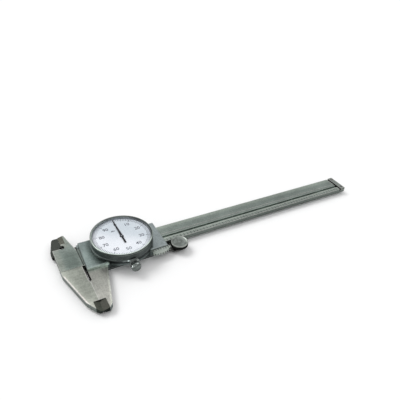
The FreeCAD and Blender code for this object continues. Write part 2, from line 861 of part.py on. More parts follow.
# Each wheel is a thin toothed disc pressed on its arbor.
def make_wheel(name, turn, along, across):
    teeth = toothed_disc(
        d.wheel_teeth.value, d.tooth_module.value, d.wheel_backlash.value,
        turn, wheel_back.value, d.wheel_thickness.value)
    bore = Part.makeCylinder(
        d.arbor_radius.value, d.wheel_thickness.value, FreeCAD.Vector(0, 0, wheel_back.value))
    return subpart(feature_of(name, teeth.cut(bore)), along, across)


# The centre pinion carries the needle on its long upper pivot.
def make_centre_pinion():
    gap_angle = towards_angle + math.pi / d.centre_teeth.value
    play = d.slide_gap
    teeth = toothed_disc(
        d.centre_teeth.value, d.tooth_module.value, d.wheel_backlash.value, gap_angle,
        (wheel_back - play).value, (d.wheel_thickness + play * 2).value)
    shaft = turning(arbor_profile(plate_top + d.slide_gap, movement_top, bridge_back, hub_top))
    return subpart(feature_of("centre_pinion", teeth.fuse(shaft)), d.dial_offset)


# The take-up wheel and its hairspring press the train one way, against its play.
def make_take_up():
    collet_back = wheel_front + d.slide_gap
    collet_front = collet_back + d.hairspring_width + d.slide_gap
    shaft = turning(arbor_profile(plate_top + d.slide_gap, movement_top, bridge_back, bridge_top))
    collet = Part.makeCylinder(
        d.hairspring_inner.value, (collet_front - collet_back).value,
        FreeCAD.Vector(0, 0, collet_back.value))
    arbor = feature_of("take_up_arbor", shaft.fuse(collet))
    subpart(arbor, take_up_along, -arbor_across)
    make_wheel("take_up_gear", towards_angle, take_up_along, -arbor_across)
    steps = int(round(d.hairspring_turns.value)) * SPIRAL_STEPS
    inner, outer = [], []
    for step in range(steps + 1):
        share = step / steps
        angle = math.tau * d.hairspring_turns.value * share
        radius = d.hairspring_inner.value + (d.hairspring_outer - d.hairspring_inner).value * share
        for edge, reach in ((inner, radius), (outer, radius + d.hairspring_strip.value)):
            edge.append((reach * math.cos(angle), reach * math.sin(angle)))
    spiral = prism(inner + outer[::-1], collet_back.value, d.hairspring_width.value)
    subpart(feature_of("hairspring", spiral), take_up_along, -arbor_across)
    stud_spread = d.hairspring_outer + d.hairspring_strip + d.stud_radius + d.slide_gap * 2
    stud = turned("hairspring_stud", [
        (NOWHERE, collet_back),
        (d.stud_radius, collet_back),
        (d.stud_radius, bridge_back),
        (NOWHERE, bridge_back),
    ])
    subpart(stud, take_up_along - towards_x * stud_spread, -arbor_across - towards_y * stud_spread)


# Two plates, three sleeves and three long screws hold the train on the slider.
def make_movement():
    lower = new_body("movement_plate")
    pad(lower, "movement_disc", plate_top, movement_top,
        circles=[(NOWHERE, NOWHERE, boss_recess_radius - d.slide_gap)])
    upper = new_body("movement_bridge")
    pad(upper, "bridge_disc", bridge_back, bridge_top, circles=[(NOWHERE, NOWHERE, bridge_radius)])
    bush_spots = [(-arbor_shift, arbor_across), (NOWHERE, NOWHERE), (arbor_shift, -arbor_across)]
    holes = [(x, y, d.bush_radius) for x, y in bush_spots]
    holes += [(x, y, d.small_screw_radius) for x, y in pillar_spots]
    pocket(lower, "movement_holes", plate_top, movement_top, circles=holes)
    pocket(upper, "bridge_holes", bridge_back, bridge_top, circles=holes)
    subpart(lower, d.dial_offset)
    subpart(upper, d.dial_offset)
    levels = (("lower_bushes", plate_top, movement_top), ("upper_bushes", bridge_back, bridge_top))
    for name, low, high in levels:
        bushes = []
        for number, (x, y) in enumerate(bush_spots):
            wide = name == "lower_bushes" and number == 0
            bore = (d.arbor_radius if wide else d.pivot_radius) + d.running_gap
            spot = (d.dial_offset + x, y)
            outside = cylinder("%s_outside_%d" % (name, number), d.bush_radius, low, high, *spot)
            inside = cylinder("%s_bore_%d" % (name, number), bore, low, high, *spot)
            bushes.append(join("Part::Cut", "%s_%d" % (name, number), outside, inside))
        group(name, bushes)
    sleeves, screws = [], []
    for number, (x, y) in enumerate(pillar_spots):
        spot = (d.dial_offset + x, y)
        outside = cylinder("sleeve_outside_%d" % number, d.pillar_radius, movement_top, bridge_back, *spot)
        inside = cylinder("sleeve_bore_%d" % number, d.small_screw_radius, movement_top, bridge_back, *spot)
        sleeves.append(join("Part::Cut", "sleeve_%d" % number, outside, inside))
        screws.append(slotted_screw(
            "movement_screw_%d" % number, *spot, movement_screw_end, bridge_top,
            bridge_top + d.small_screw_head_height, d.small_screw_radius, d.small_screw_head_radius))
    group("movement_pillars", sleeves)
    group("movement_screws", screws)


# The case ring guides the bezel. The bezel carries the printed dial plate, a
# spacing ring and the crystal, and all four turn together to set the zero.
def make_dial():
    case_radius = face_radius - d.slide_gap
    subpart(ring("dial_case", case_radius - d.case_wall, case_radius, boss_top, boss_top + d.case_height),
            d.dial_offset)
    corner = d.bezel_bevel
    ledge = face_radius - d.dial_ledge
    waist = d.bezel_radius - d.bezel_waist
    subpart(turned("bezel", [
        (face_radius, bezel_back),
        (d.bezel_radius - corner / 2, bezel_back),
        (d.bezel_radius, bezel_back + corner / 2),
        (d.bezel_radius, bezel_back + d.bezel_lip),
        (waist, bezel_back + d.bezel_lip + d.bezel_waist),
        (waist, bezel_top - d.bezel_rim - d.bezel_waist),
        (d.bezel_radius, bezel_top - d.bezel_rim),
        (d.bezel_radius, bezel_top - corner),
        (d.bezel_radius - corner, bezel_top),
        (face_radius, bezel_top),
        (face_radius, dial_back),
        (ledge, dial_back),
        (ledge, dial_back - d.dial_ledge_thickness),
        (face_radius, dial_back - d.dial_ledge_thickness),
    ]), d.dial_offset)
    hole = d.pivot_radius + d.dial_hole_gap
    subpart(ring("dial_plate", hole, face_radius, dial_back, dial_face), d.dial_offset)
    subpart(ring("crystal_ring", face_radius - d.crystal_ring_wall, face_radius, dial_face, crystal_back),
            d.dial_offset)
    edge = crystal_back + d.crystal_thickness
    subpart(turned("crystal", [
        (NOWHERE, crystal_back),
        (face_radius, crystal_back),
        (face_radius, edge),
        *[(face_radius * share, edge + d.crystal_dome * (1 - share * share)) for share in DOME_SHARES],
        (NOWHERE, edge + d.crystal_dome),
    ]), d.dial_offset)


# The needle is stamped from sheet and riveted to a short hub on the pivot.
def make_needle():
    needle_top = needle_back + d.needle_thickness
    body = new_body("needle")
    pad(body, "needle_blade", needle_back, needle_top, [
        (-d.needle_half_width, NOWHERE),
        (-d.needle_tail_half_width, -d.needle_tail),
        (d.needle_tail_half_width, -d.needle_tail),
        (d.needle_half_width, NOWHERE),
        (d.needle_tip_half_width, needle_reach),
        (-d.needle_tip_half_width, needle_reach),
    ])
    pad(body, "needle_eye", needle_back, needle_top, circles=[(NOWHERE, NOWHERE, d.needle_eye_radius)])
    neck = (d.hub_radius + d.pivot_radius) / 2
    pocket(body, "needle_bore", needle_back, needle_top, circles=[(NOWHERE, NOWHERE, neck)])
    subpart(body, d.dial_offset)
    subpart(turned("needle_hub", [
        (d.pivot_radius, hub_back),
        (d.hub_radius, hub_back),
        (d.hub_radius, needle_back),
        (neck, needle_back),
        (neck, hub_top),
        (d.pivot_radius, hub_top),
    ]), d.dial_offset)


# The back cover closes the slider's channel and is held by four screws.
def make_cover():
    body = new_body("back_cover")
    plate = pad(body, "cover_plate", **box(
        d.plate_start, slider_bottom, NOWHERE, d.slider_reach, slider_top, d.cover_thickness))
    doc.recompute()
    bottom = min(range(len(plate.Shape.Faces)), key=lambda i: plate.Shape.Faces[i].CenterOfMass.z)
    edge = body.newObject("PartDesign::Chamfer", "cover_edge")
    edge.Base = (plate, ["Face%d" % (bottom + 1)])
    edge.setExpression("Size", d.cover_bevel.text)
    seat = d.cover_thickness - d.cover_screw_shelf
    head_end = d.slide_gap * 2
    pocket(body, "cover_holes", NOWHERE, d.cover_thickness, circles=[
        (x, y, d.cover_screw_radius) for x, y in cover_screw_spots])
    pocket(body, "cover_head_seats", NOWHERE, seat, circles=[
        (x, y, d.cover_screw_head_radius) for x, y in cover_screw_spots])
    subpart(body)
    group("back_cover_screws", [
        slotted_screw("cover_screw_%d" % number, x, y, d.cover_thickness + d.cover_screw_grip, seat,
                      head_end, d.cover_screw_radius, d.cover_screw_head_radius)
        for number, (x, y) in enumerate(cover_screw_spots)])


# The gib strip takes up the play above the beam, set by two screws.
def make_gib():
    body = new_body("gib_strip")
    pad(body, "gib_bar", **box(
        d.plate_start + d.gib_inset, half_width + d.slide_gap, beam_middle - d.gib_height / 2,
        d.slider_reach - d.gib_inset, channel_top, beam_middle + d.gib_height / 2))
    subpart(body)
    screws = []
    for number, along in enumerate(gib_screw_spots):
        item = cylinder("gib_screw_%d" % number, d.gib_screw_radius, channel_top, slider_top, along, NOWHERE)
        item.setExpression("Placement.Base.y", channel_top.text)
        item.setExpression("Placement.Base.z", beam_middle.text)
        item.Placement.Rotation = FreeCAD.Rotation(FreeCAD.Vector(1, 0, 0), -90)
        slot = doc.addObject("Part::Box", "gib_screw_slot_%d" % number)
        slot.setExpression("Length", (d.gib_screw_radius * 2).text)
        slot.setExpression("Width", d.slot_depth.text)
        slot.setExpression("Height", d.slot_width.text)
        slot.setExpression("Placement.Base.x", (along - d.gib_screw_radius).text)
        slot.setExpression("Placement.Base.y", (slider_top - d.slot_depth).text)
        slot.setExpression("Placement.Base.z", (beam_middle - d.slot_width / 2).text)
        screws.append(join("Part::Cut", "gib_set_screw_%d" % number, item, slot))
    group("gib_screws", screws)


# A flat rod rides with the slider in the back of the beam and measures depth.
def make_depth_rod():
    body = new_body("depth_rod")
    side = d.rod_width / 2
    pad(body, "rod_strip", **box(
        d.rod_start, d.rod_offset - side, d.cover_thickness,
        d.beam_reach, d.rod_offset + side, d.cover_thickness + d.rod_thickness))
    pocket(body, "rod_notch_cut", d.cover_thickness, d.cover_thickness + d.rod_thickness, [
        (d.beam_reach - d.rod_notch_length - d.rod_notch, d.rod_offset + side),
        (d.beam_reach, d.rod_offset + side),
        (d.beam_reach, d.rod_offset + side - d.rod_notch),
        (d.beam_reach - d.rod_notch_length, d.rod_offset + side - d.rod_notch),
    ])
    return subpart(body)


# A small plate screwed across the beam's end keeps the slider on.
def make_end_stop():
    body = new_body("end_stop")
    floor = beam_front - d.stop_seat_depth
    top = beam_front + d.stop_rise
    start = d.beam_reach - d.stop_seat + d.stop_gap
    middle = (start + d.beam_reach) / 2
    pad(body, "stop_plate", **box(start, -half_width, floor, d.beam_reach, half_width, top))
    spots = [(middle, d.stop_screw_spread), (middle, -d.stop_screw_spread)]
    seat = floor + d.stop_screw_shelf
    pocket(body, "stop_holes", floor, top, circles=[(x, y, d.stop_screw_radius) for x, y in spots])
    pocket(body, "stop_head_seats", seat, top, circles=[(x, y, d.stop_screw_head_radius) for x, y in spots])
    subpart(body)
    group("end_stop_screws", [
        slotted_screw("stop_screw_%d" % number, x, y, floor - d.stop_screw_grip, seat,
                      top - d.slide_gap * 2, d.stop_screw_radius, d.stop_screw_head_radius)
        for number, (x, y) in enumerate(spots)])


# A sprung arm under the slider holds the thumb roller against the beam's edge.
def make_thumb_roller():
    arm = new_body("roller_arm")
    swell = d.arm_half_width
    pad(arm, "arm_strip", d.cover_thickness, arm_top, [
        (arm_start, slider_bottom),
        (d.slider_reach, slider_bottom),
        (d.slider_reach + swell, roller_across - swell),
        (roller_along, roller_across - swell),
        (roller_along, roller_across + swell),
        (d.slider_reach + swell, arm_side),
        (arm_start, arm_side),
    ])
    pad(arm, "arm_end", d.cover_thickness, arm_top, circles=[(roller_along, roller_across, swell)])
    holes = [(x, y, d.cover_screw_radius) for x, y in cover_screw_spots[2:3]]
    holes.append((roller_along, roller_across, d.roller_pin_radius))
    pocket(arm, "arm_holes", d.cover_thickness, arm_top, circles=holes)
    subpart(arm)
    pin_top = arm_top + d.roller_pin_depth
    subpart(turned("roller_pin", [
        (NOWHERE, d.cover_thickness),
        (d.roller_pin_radius, d.cover_thickness),
        (d.roller_pin_radius, pin_top),
        (NOWHERE, pin_top),
    ]), roller_along, roller_across)
    bore = d.roller_pin_radius + d.running_gap
    top = beam_front + d.roller_rise
    bottom = top - d.roller_thickness
    hub_end = arm_top + d.slide_gap
    corner = d.roller_bevel
    rim = d.roller_radius - d.roller_rim
    subpart(turned("thumb_roller", [
        (bore, hub_end),
        (d.roller_hub_radius, hub_end),
        (d.roller_hub_radius, bottom),
        (d.roller_radius - corner, bottom),
        (d.roller_radius, bottom + corner),
        (d.roller_radius, top - corner),
        (d.roller_radius - corner, top),
        (rim, top),
        (rim - d.roller_dish, top - d.roller_dish),
        (NOWHERE, top - d.roller_dish),
        (NOWHERE, pin_top + d.slide_gap * 2),
        (bore, pin_top + d.slide_gap * 2),
    ]), roller_along, roller_across)


def turned_along_y(item, quarter):
    """Lays a turned piece's axis along Y: towards +Y for -90, -Y for +90."""
    item.Placement.Rotation = FreeCAD.Rotation(FreeCAD.Vector(1, 0, 0), quarter)


# A knurled screw in the slider's upper edge presses on the gib strip.
def make_lock_screw():
    start = channel_top + d.slide_gap
    head = slider_top + d.head_gap
    end = head + d.lock_head_length
    corner = d.knob_bevel
    item = turned("lock_screw", [
        (NOWHERE, start),
        (d.lock_screw_radius, start),
        (d.lock_screw_radius, head),
        (d.lock_head_radius - corner, head),
        (d.lock_head_radius, head + corner),
        (d.lock_head_radius, end - corner),
        (d.lock_head_radius - corner, end),
        (NOWHERE, end),
    ])
    subpart(item, d.lock_screw_along, NOWHERE, beam_middle)
    turned_along_y(item, -90)


# A claw below the bezel's edge is drawn in by a knurled screw to hold the zero.
def make_bezel_clamp():
    body = new_body("bezel_clamp_claw")
    inside = boss_radius + d.slide_gap * 2
    outside = d.bezel_radius + d.clamp_shoe_depth
    clear = d.bezel_radius + d.slide_gap * 2
    half = d.clamp_shoe_width / 2 + d.knob_bevel
    low = plate_top - d.boss_underside
    high = bezel_back + d.clamp_shoe_depth
    pad(body, "claw_block", low, high, [
        (-half, -outside), (half, -outside), (half, -inside), (-half, -inside)])
    pocket(body, "claw_relief", boss_top, high, circles=[(NOWHERE, NOWHERE, clear)])
    side_cut(body, "claw_hole", -outside, -inside, circles=[
        (NOWHERE, clamp_height, d.clamp_screw_radius + d.slide_gap)])
    subpart(body, d.dial_offset)
    head = outside + d.head_gap
    end = head + d.clamp_head_length
    corner = d.knob_bevel
    item = turned("bezel_clamp_screw", [
        (NOWHERE, clamp_screw_end + d.slide_gap),
        (d.clamp_screw_radius, clamp_screw_end + d.slide_gap),
        (d.clamp_screw_radius, head),
        (d.clamp_head_radius - corner, head),
        (d.clamp_head_radius, head + corner),
        (d.clamp_head_radius, end - corner),
        (d.clamp_head_radius - corner, end),
        (NOWHERE, end),
    ])
    subpart(item, d.dial_offset, NOWHERE, clamp_height)
    turned_along_y(item, 90)


make_beam()
make_rack()
make_end_stop()
make_slider()
make_gib()
make_depth_rod()
make_cover()
make_thumb_roller()
make_lock_screw()
make_movement()
make_rack_pinion()
make_wheel("drive_gear", towards_angle + math.pi, arbor_along, arbor_across)
make_centre_pinion()
make_take_up()
make_dial()
make_needle()
make_bezel_clamp()
doc.recompute()

for item in doc.Objects:
    if "Invalid" in item.State or "Error" in item.State:
        raise RuntimeError("%s did not build: %s" % (item.Label, item.State))
for item in SUBPARTS:
    if item.Shape.isNull() or not item.Shape.isValid():
        raise RuntimeError("%s has no valid shape" % item.Label)

os.makedirs("parts", exist_ok=True)
for item in SUBPARTS:
    item.Shape.exportStep(os.path.join("parts", item.Label + ".step"))
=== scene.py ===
import math

import bpy
import numpy as np
from mathutils import Matrix, Vector


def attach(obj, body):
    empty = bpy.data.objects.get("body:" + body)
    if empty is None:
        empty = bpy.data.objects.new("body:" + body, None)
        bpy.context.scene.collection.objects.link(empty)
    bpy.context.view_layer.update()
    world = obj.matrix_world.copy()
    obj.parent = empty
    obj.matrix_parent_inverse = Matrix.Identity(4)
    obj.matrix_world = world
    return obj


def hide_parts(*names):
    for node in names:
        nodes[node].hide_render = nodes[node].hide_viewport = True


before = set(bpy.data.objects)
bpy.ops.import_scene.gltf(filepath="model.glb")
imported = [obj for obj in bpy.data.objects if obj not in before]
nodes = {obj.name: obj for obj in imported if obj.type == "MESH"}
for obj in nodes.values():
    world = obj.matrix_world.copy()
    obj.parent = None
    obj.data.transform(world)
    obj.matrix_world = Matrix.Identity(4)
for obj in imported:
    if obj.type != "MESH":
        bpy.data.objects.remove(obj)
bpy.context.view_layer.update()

# ---------------------------------------------------------------------------
# Beam with the fixed jaw. One bar of stainless steel, hardened and ground
# flat, with the grain of the wheel on its faces and bright corners, part wear
# and part painted highlight. The outside jaw is ground a second time, so it is
# a little warmer and lighter.


class Value:
    """A shader socket that sums can be written with: each sum adds its node."""

    def __init__(self, tree, socket):
        self.tree = tree
        self.socket = socket

    def reckon(self, operation, *terms):
        """Adds the Math node of one sum."""
        return self.tree.node("ShaderNodeMath", {"operation": operation}, terms)

    def __add__(self, other):
        return self.reckon("ADD", self, other)

    def __sub__(self, other):
        return self.reckon("SUBTRACT", self, other)

    def __rsub__(self, other):
        return self.reckon("SUBTRACT", other, self)

    def __mul__(self, other):
        return self.reckon("MULTIPLY", self, other)

    def __abs__(self):
        return self.reckon("ABSOLUTE", self)

    __radd__ = __add__
    __rmul__ = __mul__

    def sine(self):
        return self.reckon("SINE", self)

    def rise(self, low, high):
        """0 below low, 1 above high and smooth between them."""
        limits = {"Value": self, "From Min": low, "From Max": high}
        return self.tree.node("ShaderNodeMapRange", {"interpolation_type": "SMOOTHSTEP"}, limits)

    def fall(self, low, high):
        """1 below low, 0 above high and smooth between them."""
        return 1 - self.rise(low, high)

    def within(self, low, high, soft=0.00003):
        """1 between low and high, with soft ends."""
        return self.rise(low - soft, low + soft) * self.fall(high - soft, high + soft)


class Tree:
    """The nodes of a finish or of the room."""

    def __init__(self, tree):
        self.tree = tree

    def node(self, kind, settings=(), inputs=(), output=0):
        """Adds one node: its settings first, then the value or link of each socket."""
        made = self.tree.nodes.new(kind)
        for key, value in dict(settings).items():
            setattr(made, key, value)
        for socket, value in inputs.items() if isinstance(inputs, dict) else enumerate(inputs):
            if isinstance(value, Value):
                self.tree.links.new(value.socket, made.inputs[socket])
            else:
                made.inputs[socket].default_value = value
        return Value(self, made.outputs[output])

    def mix(self, share, first, second, blend="MIX"):
        """A colour between two, or the first times the second where the blend is MULTIPLY."""
        factor, colour_a, colour_b, colour_out = 0, 6, 7, 2
        return self.node("ShaderNodeMix", {"data_type": "RGBA", "blend_type": blend},
                         {factor: share, colour_a: first, colour_b: second}, colour_out)


class Finish(Tree):
    """A material: its main shader, and the patterns that vary it over a piece."""

    def __init__(self, name, **constants):
        self.material = bpy.data.materials.new(name)
        self.material.use_nodes = True
        super().__init__(self.material.node_tree)
        self.shader = self.tree.nodes["Principled BSDF"]
        for socket, value in constants.items():
            self.shader.inputs[socket.replace("_", " ")].default_value = value

    def feed(self, **sockets):
        """Links what varies over the piece to the shader's own sockets."""
        for socket, value in sockets.items():
            self.tree.links.new(value.socket, self.shader.inputs[socket.replace("_", " ")])

    def place(self):
        """A point of the piece, in metres."""
        return self.node("ShaderNodeTexCoord", output="Object")

    def axis(self, name, of="Object"):
        """X, Y or Z of a point of the piece in metres, or of its own normal."""
        spot = self.node("ShaderNodeTexCoord", output=of)
        return self.node("ShaderNodeSeparateXYZ", {}, [spot], name)

    def noise(self, scale, detail=3.0, stretch=(1, 1, 1)):
        """Smooth noise about 0.5, finer with scale. stretch makes it finer along an axis."""
        where = self.node("ShaderNodeMapping", {}, {"Vector": self.place(), "Scale": stretch})
        return self.node("ShaderNodeTexNoise", {},
                         {"Vector": where, "Scale": scale, "Detail": detail})

    def corners(self, radius):
        """1 on a piece's corners and 0 on its faces, by how far the rounded normal leans."""
        rounded = self.node("ShaderNodeBevel", {"samples": 6}, {"Radius": radius})
        true = self.node("ShaderNodeNewGeometry", output="Normal")
        lean = self.node("ShaderNodeVectorMath", {"operation": "DOT_PRODUCT"}, [rounded, true],
                         "Value")
        return (1 - lean).rise(0.004, 0.12)

    def tops(self):
        """1 on a piece's flat faces, above and below, and 0 on all that leans."""
        return abs(self.axis("Z", "Normal")).rise(0.85, 0.99)

    def sides(self):
        """1 on a piece's upright walls and 0 on its flat faces."""
        return abs(self.axis("Z", "Normal")).fall(0.3, 0.8)

    def bump(self, height, depth):
        """The surface's own normal, leaning as a height of 0 to 1 would make it, depth deep."""
        return self.node("ShaderNodeBump", {},
                         {"Strength": 1.0, "Distance": depth, "Height": height})


def tone(red, green, blue):
    """A colour as a screen shows it, 0 to 255, turned into light."""
    seen = np.array((red, green, blue)) / 255
    light = np.where(seen <= 0.04045, seen / 12.92, ((seen + 0.055) / 1.055) ** 2.4)
    return (*light.tolist(), 1.0)


def scaled(colour, share):
    """A colour made darker or lighter, with no part of it above 1."""
    return (*(min(part * share, 1.0) for part in colour[:3]), 1.0)


def grey(share):
    """A tint that darkens or lightens without a hue."""
    return (share, share, share)


def lay_zones(finish, zones, face, wear_and_highlight, dulling):
    """Lays the zones of a piece over its face colour, its bright corners (part wear, part painted
    highlight) and its dulling.

    Each zone is a mask, the tint that the face is multiplied by there, and how much rougher
    it is. A rougher zone has no bright corners."""
    for mask, tint, dull in zones(finish) if zones else ():
        face = finish.mix(mask, face, (*tint, 1), "MULTIPLY")
        if dull:
            wear_and_highlight = wear_and_highlight * (1 - mask)
            dulling = dulling + dull * mask
    return face, wear_and_highlight, dulling


ALONG = (60, 5200, 5200)  # grain marks to the metre: long ones along X


def ground_steel(name, shade, bright, grain=ALONG, rough=0.36, wear=0.0004, walls=0.5,
                 zones=None):
    """Ground steel: grain marks, soft clouds and specks, upright walls darkened as painted shade,
    and bright corners that are part wear and part painted highlight.

    wear is how far the bright corners reach, and walls is the tint of the upright walls, a
    painted shade."""
    steel = Finish(name, Metallic=1.0)
    marks = steel.noise(1.0, 4.0, grain)
    bands = steel.noise(1.0, 2.0, tuple(part / 9 for part in grain))
    cloud = steel.noise(110.0)
    mottle = steel.noise(1100.0, 2.0)
    speck = steel.noise(2600.0, 2.0)
    edge = steel.corners(wear)
    side = steel.sides()
    share = (marks * 0.25 + bands * 0.15 + cloud * 0.25 + mottle * 0.35).rise(0.38, 0.62)
    face = steel.mix(share, scaled(shade, 0.80), scaled(shade, 1.18))
    # bright corners: part wear, part a painted highlight, weaker on the walls
    wear_and_highlight = 0.8 - 0.45 * side
    dulling = 0.12 * (marks - 0.5) + 0.16 * (cloud - 0.5) + 0.12 * side - 0.08 * edge
    face, wear_and_highlight, dulling = lay_zones(steel, zones, face, wear_and_highlight, dulling)
    # painted shade: the upright walls darkened by the walls tint
    face = steel.mix(side, face, (*grey(walls), 1), "MULTIPLY")
    steel.feed(Base_Color=steel.mix(edge * wear_and_highlight, face, bright), Roughness=rough + dulling,
               Normal=steel.bump(marks * 0.7 + speck * 0.3, 0.000006))
    return steel


def past_line(x, y, start, end):
    """How far a point lies to the left of the line from start to end, in metres."""
    run, climb = end[0] - start[0], end[1] - start[1]
    length = math.hypot(run, climb)
    offset = (climb * start[0] - run * start[1]) / length
    return x * (-climb / length) + y * (run / length) + offset


def beyond(x, y, near, far):
    """0 nearer than near to where x and y are 0 and 1 past far, by the squared distance."""
    return (x * x + y * y).rise(near ** 2, far ** 2)


HALF_WIDTH = 0.0080           # of the beam
BEAM_FACE = 0.00505
JAW_FACE = 0.00493            # of both outside jaws, ground lower than the beam
JAW_LINE = -0.0280            # where the outside jaws meet
SLOT_END = -0.0226            # the foot of the relief slot between them
KNIFE_TOP = -0.0384           # where their thin ends begin
NIB_HOLE = (-0.0355, 0.0137)  # the relief at the root of the inside jaws
SHADOW_BLACK = (0.04, 0.04, 0.04)    # tint of a gap, painted as the shadow that fills it
JAW_LEFT = (-0.0417, -0.0115), (-0.0352, -0.0376)  # the left edge of the fixed outside jaw


def beam_zones(steel):
    """What differs from the plain ground face, in metres from the dial's centre.

    First the jaw and the head, then the inside jaw, then the blade and its groove, and last
    the painted shade where the slider's end meets the blade. Many zones are painted light and
    shade."""
    x, y, z = (steel.axis(name) for name in "XYZ")
    top = steel.tops()
    jaw = x.within(-0.0425, JAW_LINE + 0.0001)
    jaw = jaw * y.fall(-HALF_WIDTH - 0.00006, -HALF_WIDTH + 0.00004) * top
    # painted highlight: the jaw lighter towards its tip
    jaw_tip_highlight = jaw * y.fall(-0.040, -0.024)
    from_left = past_line(x, y, *JAW_LEFT)
    # painted highlight along the jaw's left edge: a wide soft one and a narrow pinkish one
    left_highlight_wide = jaw * from_left.fall(0.0006, 0.0050)
    left_edge_highlight = jaw * from_left.fall(0.0006, 0.0013) * y.fall(-0.0130, -0.0110)
    # knife faces darker and rougher: part their grind, part painted shade
    knife = x.within(-0.0315, JAW_LINE + 0.0001) * y.fall(KNIFE_TOP - 0.00001, KNIFE_TOP + 0.00002)
    # the relief slot painted black, as the shadow in it
    slot = x.within(JAW_LINE - 0.00085, JAW_LINE + 0.0001)
    slot = slot * y.within(SLOT_END - 0.0002, -HALF_WIDTH + 0.0001)
    slot = slot * z.fall(JAW_FACE - 0.00007, JAW_FACE - 0.00001)
    head = x.within(-0.0372, -0.0290, 0.0025) * y.within(-0.0078, 0.0075, 0.003)
    head_left = x.fall(-0.0395, -0.0370) * y.within(-HALF_WIDTH, 0.0125)
    nib = x.fall(-0.0345, -0.0285) * y.rise(0.0115, 0.0145)
    # the inside jaw's knife face darker and rougher: part its grind, part painted shade
    nib_knife = x.within(-0.0356, -0.0326) * y.rise(0.01679, 0.01682) * z.rise(0.0038, 0.0040)
    # the nib's relief hole painted black, as the shadow in it
    nib_hole = 1 - beyond(x - NIB_HOLE[0], y - NIB_HOLE[1], 0.0015, 0.0019)
    blade = x.rise(-0.027, -0.020)
    # painted highlight along the blade's upper edge; painted light on its lower strip and along
    # the groove's lower edge
    upper = blade * y.rise(0.0036, 0.0064)
    strip = blade * y.fall(-0.0049, -0.0047) * top
    strip_edge_highlight = blade * y.within(-0.0056, -0.0047, 0.0005)
    # painted light: the groove lightened against its shade
    groove = y.within(-0.0049, -0.0004) * z.fall(0.0042, 0.0044)
    # the gap at the end stop's seat painted black, as the shadow in it
    stop_seat = x.within(0.1810, 0.1827) * z.within(0.0037, 0.00503)
    # painted shade: the blade darker midway along
    painted_shade_midway = x.within(0.088, 0.152, 0.02)
    # painted shade on the blade under the slider's left end, and a painted shadow line along the
    # head's edge
    under = x.within(JAW_LINE, -0.0262, 0.0003) * y.within(-0.0079, 0.0079) * top
    seam_shadow = under * x.within(-0.0281, -0.0274, 0.0001)
    return [
        (jaw, (1.26, 1.15, 1.11), 0),
        (jaw_tip_highlight, (1.22, 1.20, 1.20), 0),
        (head, (0.64, 0.67, 0.66), 0),
        (head_left, (1.16, 1.10, 1.08), 0),
        (nib, (1.22, 1.14, 1.10), 0),
        (upper, (1.42, 1.40, 1.36), 0),
        (strip, (1.17, 1.15, 1.13), 0),
        (strip_edge_highlight, (1.28, 1.28, 1.27), 0),
        (painted_shade_midway, grey(0.88), 0),
        (under, grey(0.74), 0),
        (seam_shadow, grey(0.35), 0.1),
        (left_highlight_wide, (1.36, 1.35, 1.35), 0),
        (left_edge_highlight, (1.8, 1.64, 1.76), 0),
        (groove, grey(1.25), 0),
        (knife, (0.29, 0.295, 0.275), 0.35),
        (nib_knife, (0.42, 0.39, 0.37), 0.35),
        (slot, SHADOW_BLACK, 0.3),
        (nib_hole, SHADOW_BLACK, 0.3),
        (stop_seat, SHADOW_BLACK, 0.3),
    ]


beam_shade = tone(138, 148, 142)
worn_and_lit_steel = tone(228, 226, 221)
beam_steel = ground_steel("beam_steel", beam_shade, worn_and_lit_steel, wear=0.0009, walls=0.6,
                          zones=beam_zones)


def dress(finish, *names):
    """Gives CAD nodes their finish."""
    for name in names:
        nodes[name].data.materials.clear()
        nodes[name].data.materials.append(finish.material)


dress(beam_steel, "beam_with_fixed_jaw")

# ---------------------------------------------------------------------------
# The scale along the beam's lower strip. Etched and filled lines every tenth
# of an inch, with a plain number at each, read at the slider's right edge.
TENTH = 0.00254
SCALE_START = 0.0264
SCALE_MARKS = 61
MARKS_FOOT = -0.00772
TALL_INCH, TALL_HALF, TALL_TENTH = 0.00185, 0.0015, 0.00115
WIDE_INCH, WIDE_TENTH = 0.00046, 0.00040
INK_LIFT = 0.000008  # how far a print stands above its face


def add_piece(name, points, faces, finish, body, smooth=None):
    """Puts a finished mesh in the scene, riding on a body.

    smooth is the sharpest corner that is shaded round, in degrees."""
    mesh = bpy.data.meshes.new(name)
    loops = [list(map(int, face)) for face in faces]
    mesh.from_pydata(np.asarray(points, float).tolist(), [], loops)
    mesh.update()
    if smooth:
        mesh.shade_smooth()
        mesh.set_sharp_from_angle(angle=math.radians(smooth))
    mesh.materials.append(finish.material)
    piece = bpy.data.objects.new(name, mesh)
    bpy.context.scene.collection.objects.link(piece)
    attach(piece, body)
    return piece


def joined(prints):
    """Several prints as one: their points in turn, and their face numbers following on."""
    points, faces, start = [], [], 0
    for spots, loops in prints:
        points.append(spots)
        faces += [[start + int(corner) for corner in face] for face in loops]
        start += len(spots)
    return np.concatenate(points), faces


def strokes(middles, directions, lengths, widths, height):
    """Printed strokes: each a flat rectangle about its middle, its length along its direction."""
    middles, directions = np.asarray(middles, float), np.asarray(directions, float)
    aside = np.stack([-directions[:, 1], directions[:, 0]], 1) * np.asarray(widths)[:, None] / 2
    onward = directions * np.asarray(lengths)[:, None] / 2
    flat = np.stack([middles - onward + aside, middles - onward - aside,
                     middles + onward - aside, middles + onward + aside], 1).reshape(-1, 2)
    points = np.column_stack([flat, np.full(len(flat), height)])
    return points, np.arange(len(flat)).reshape(-1, 4)


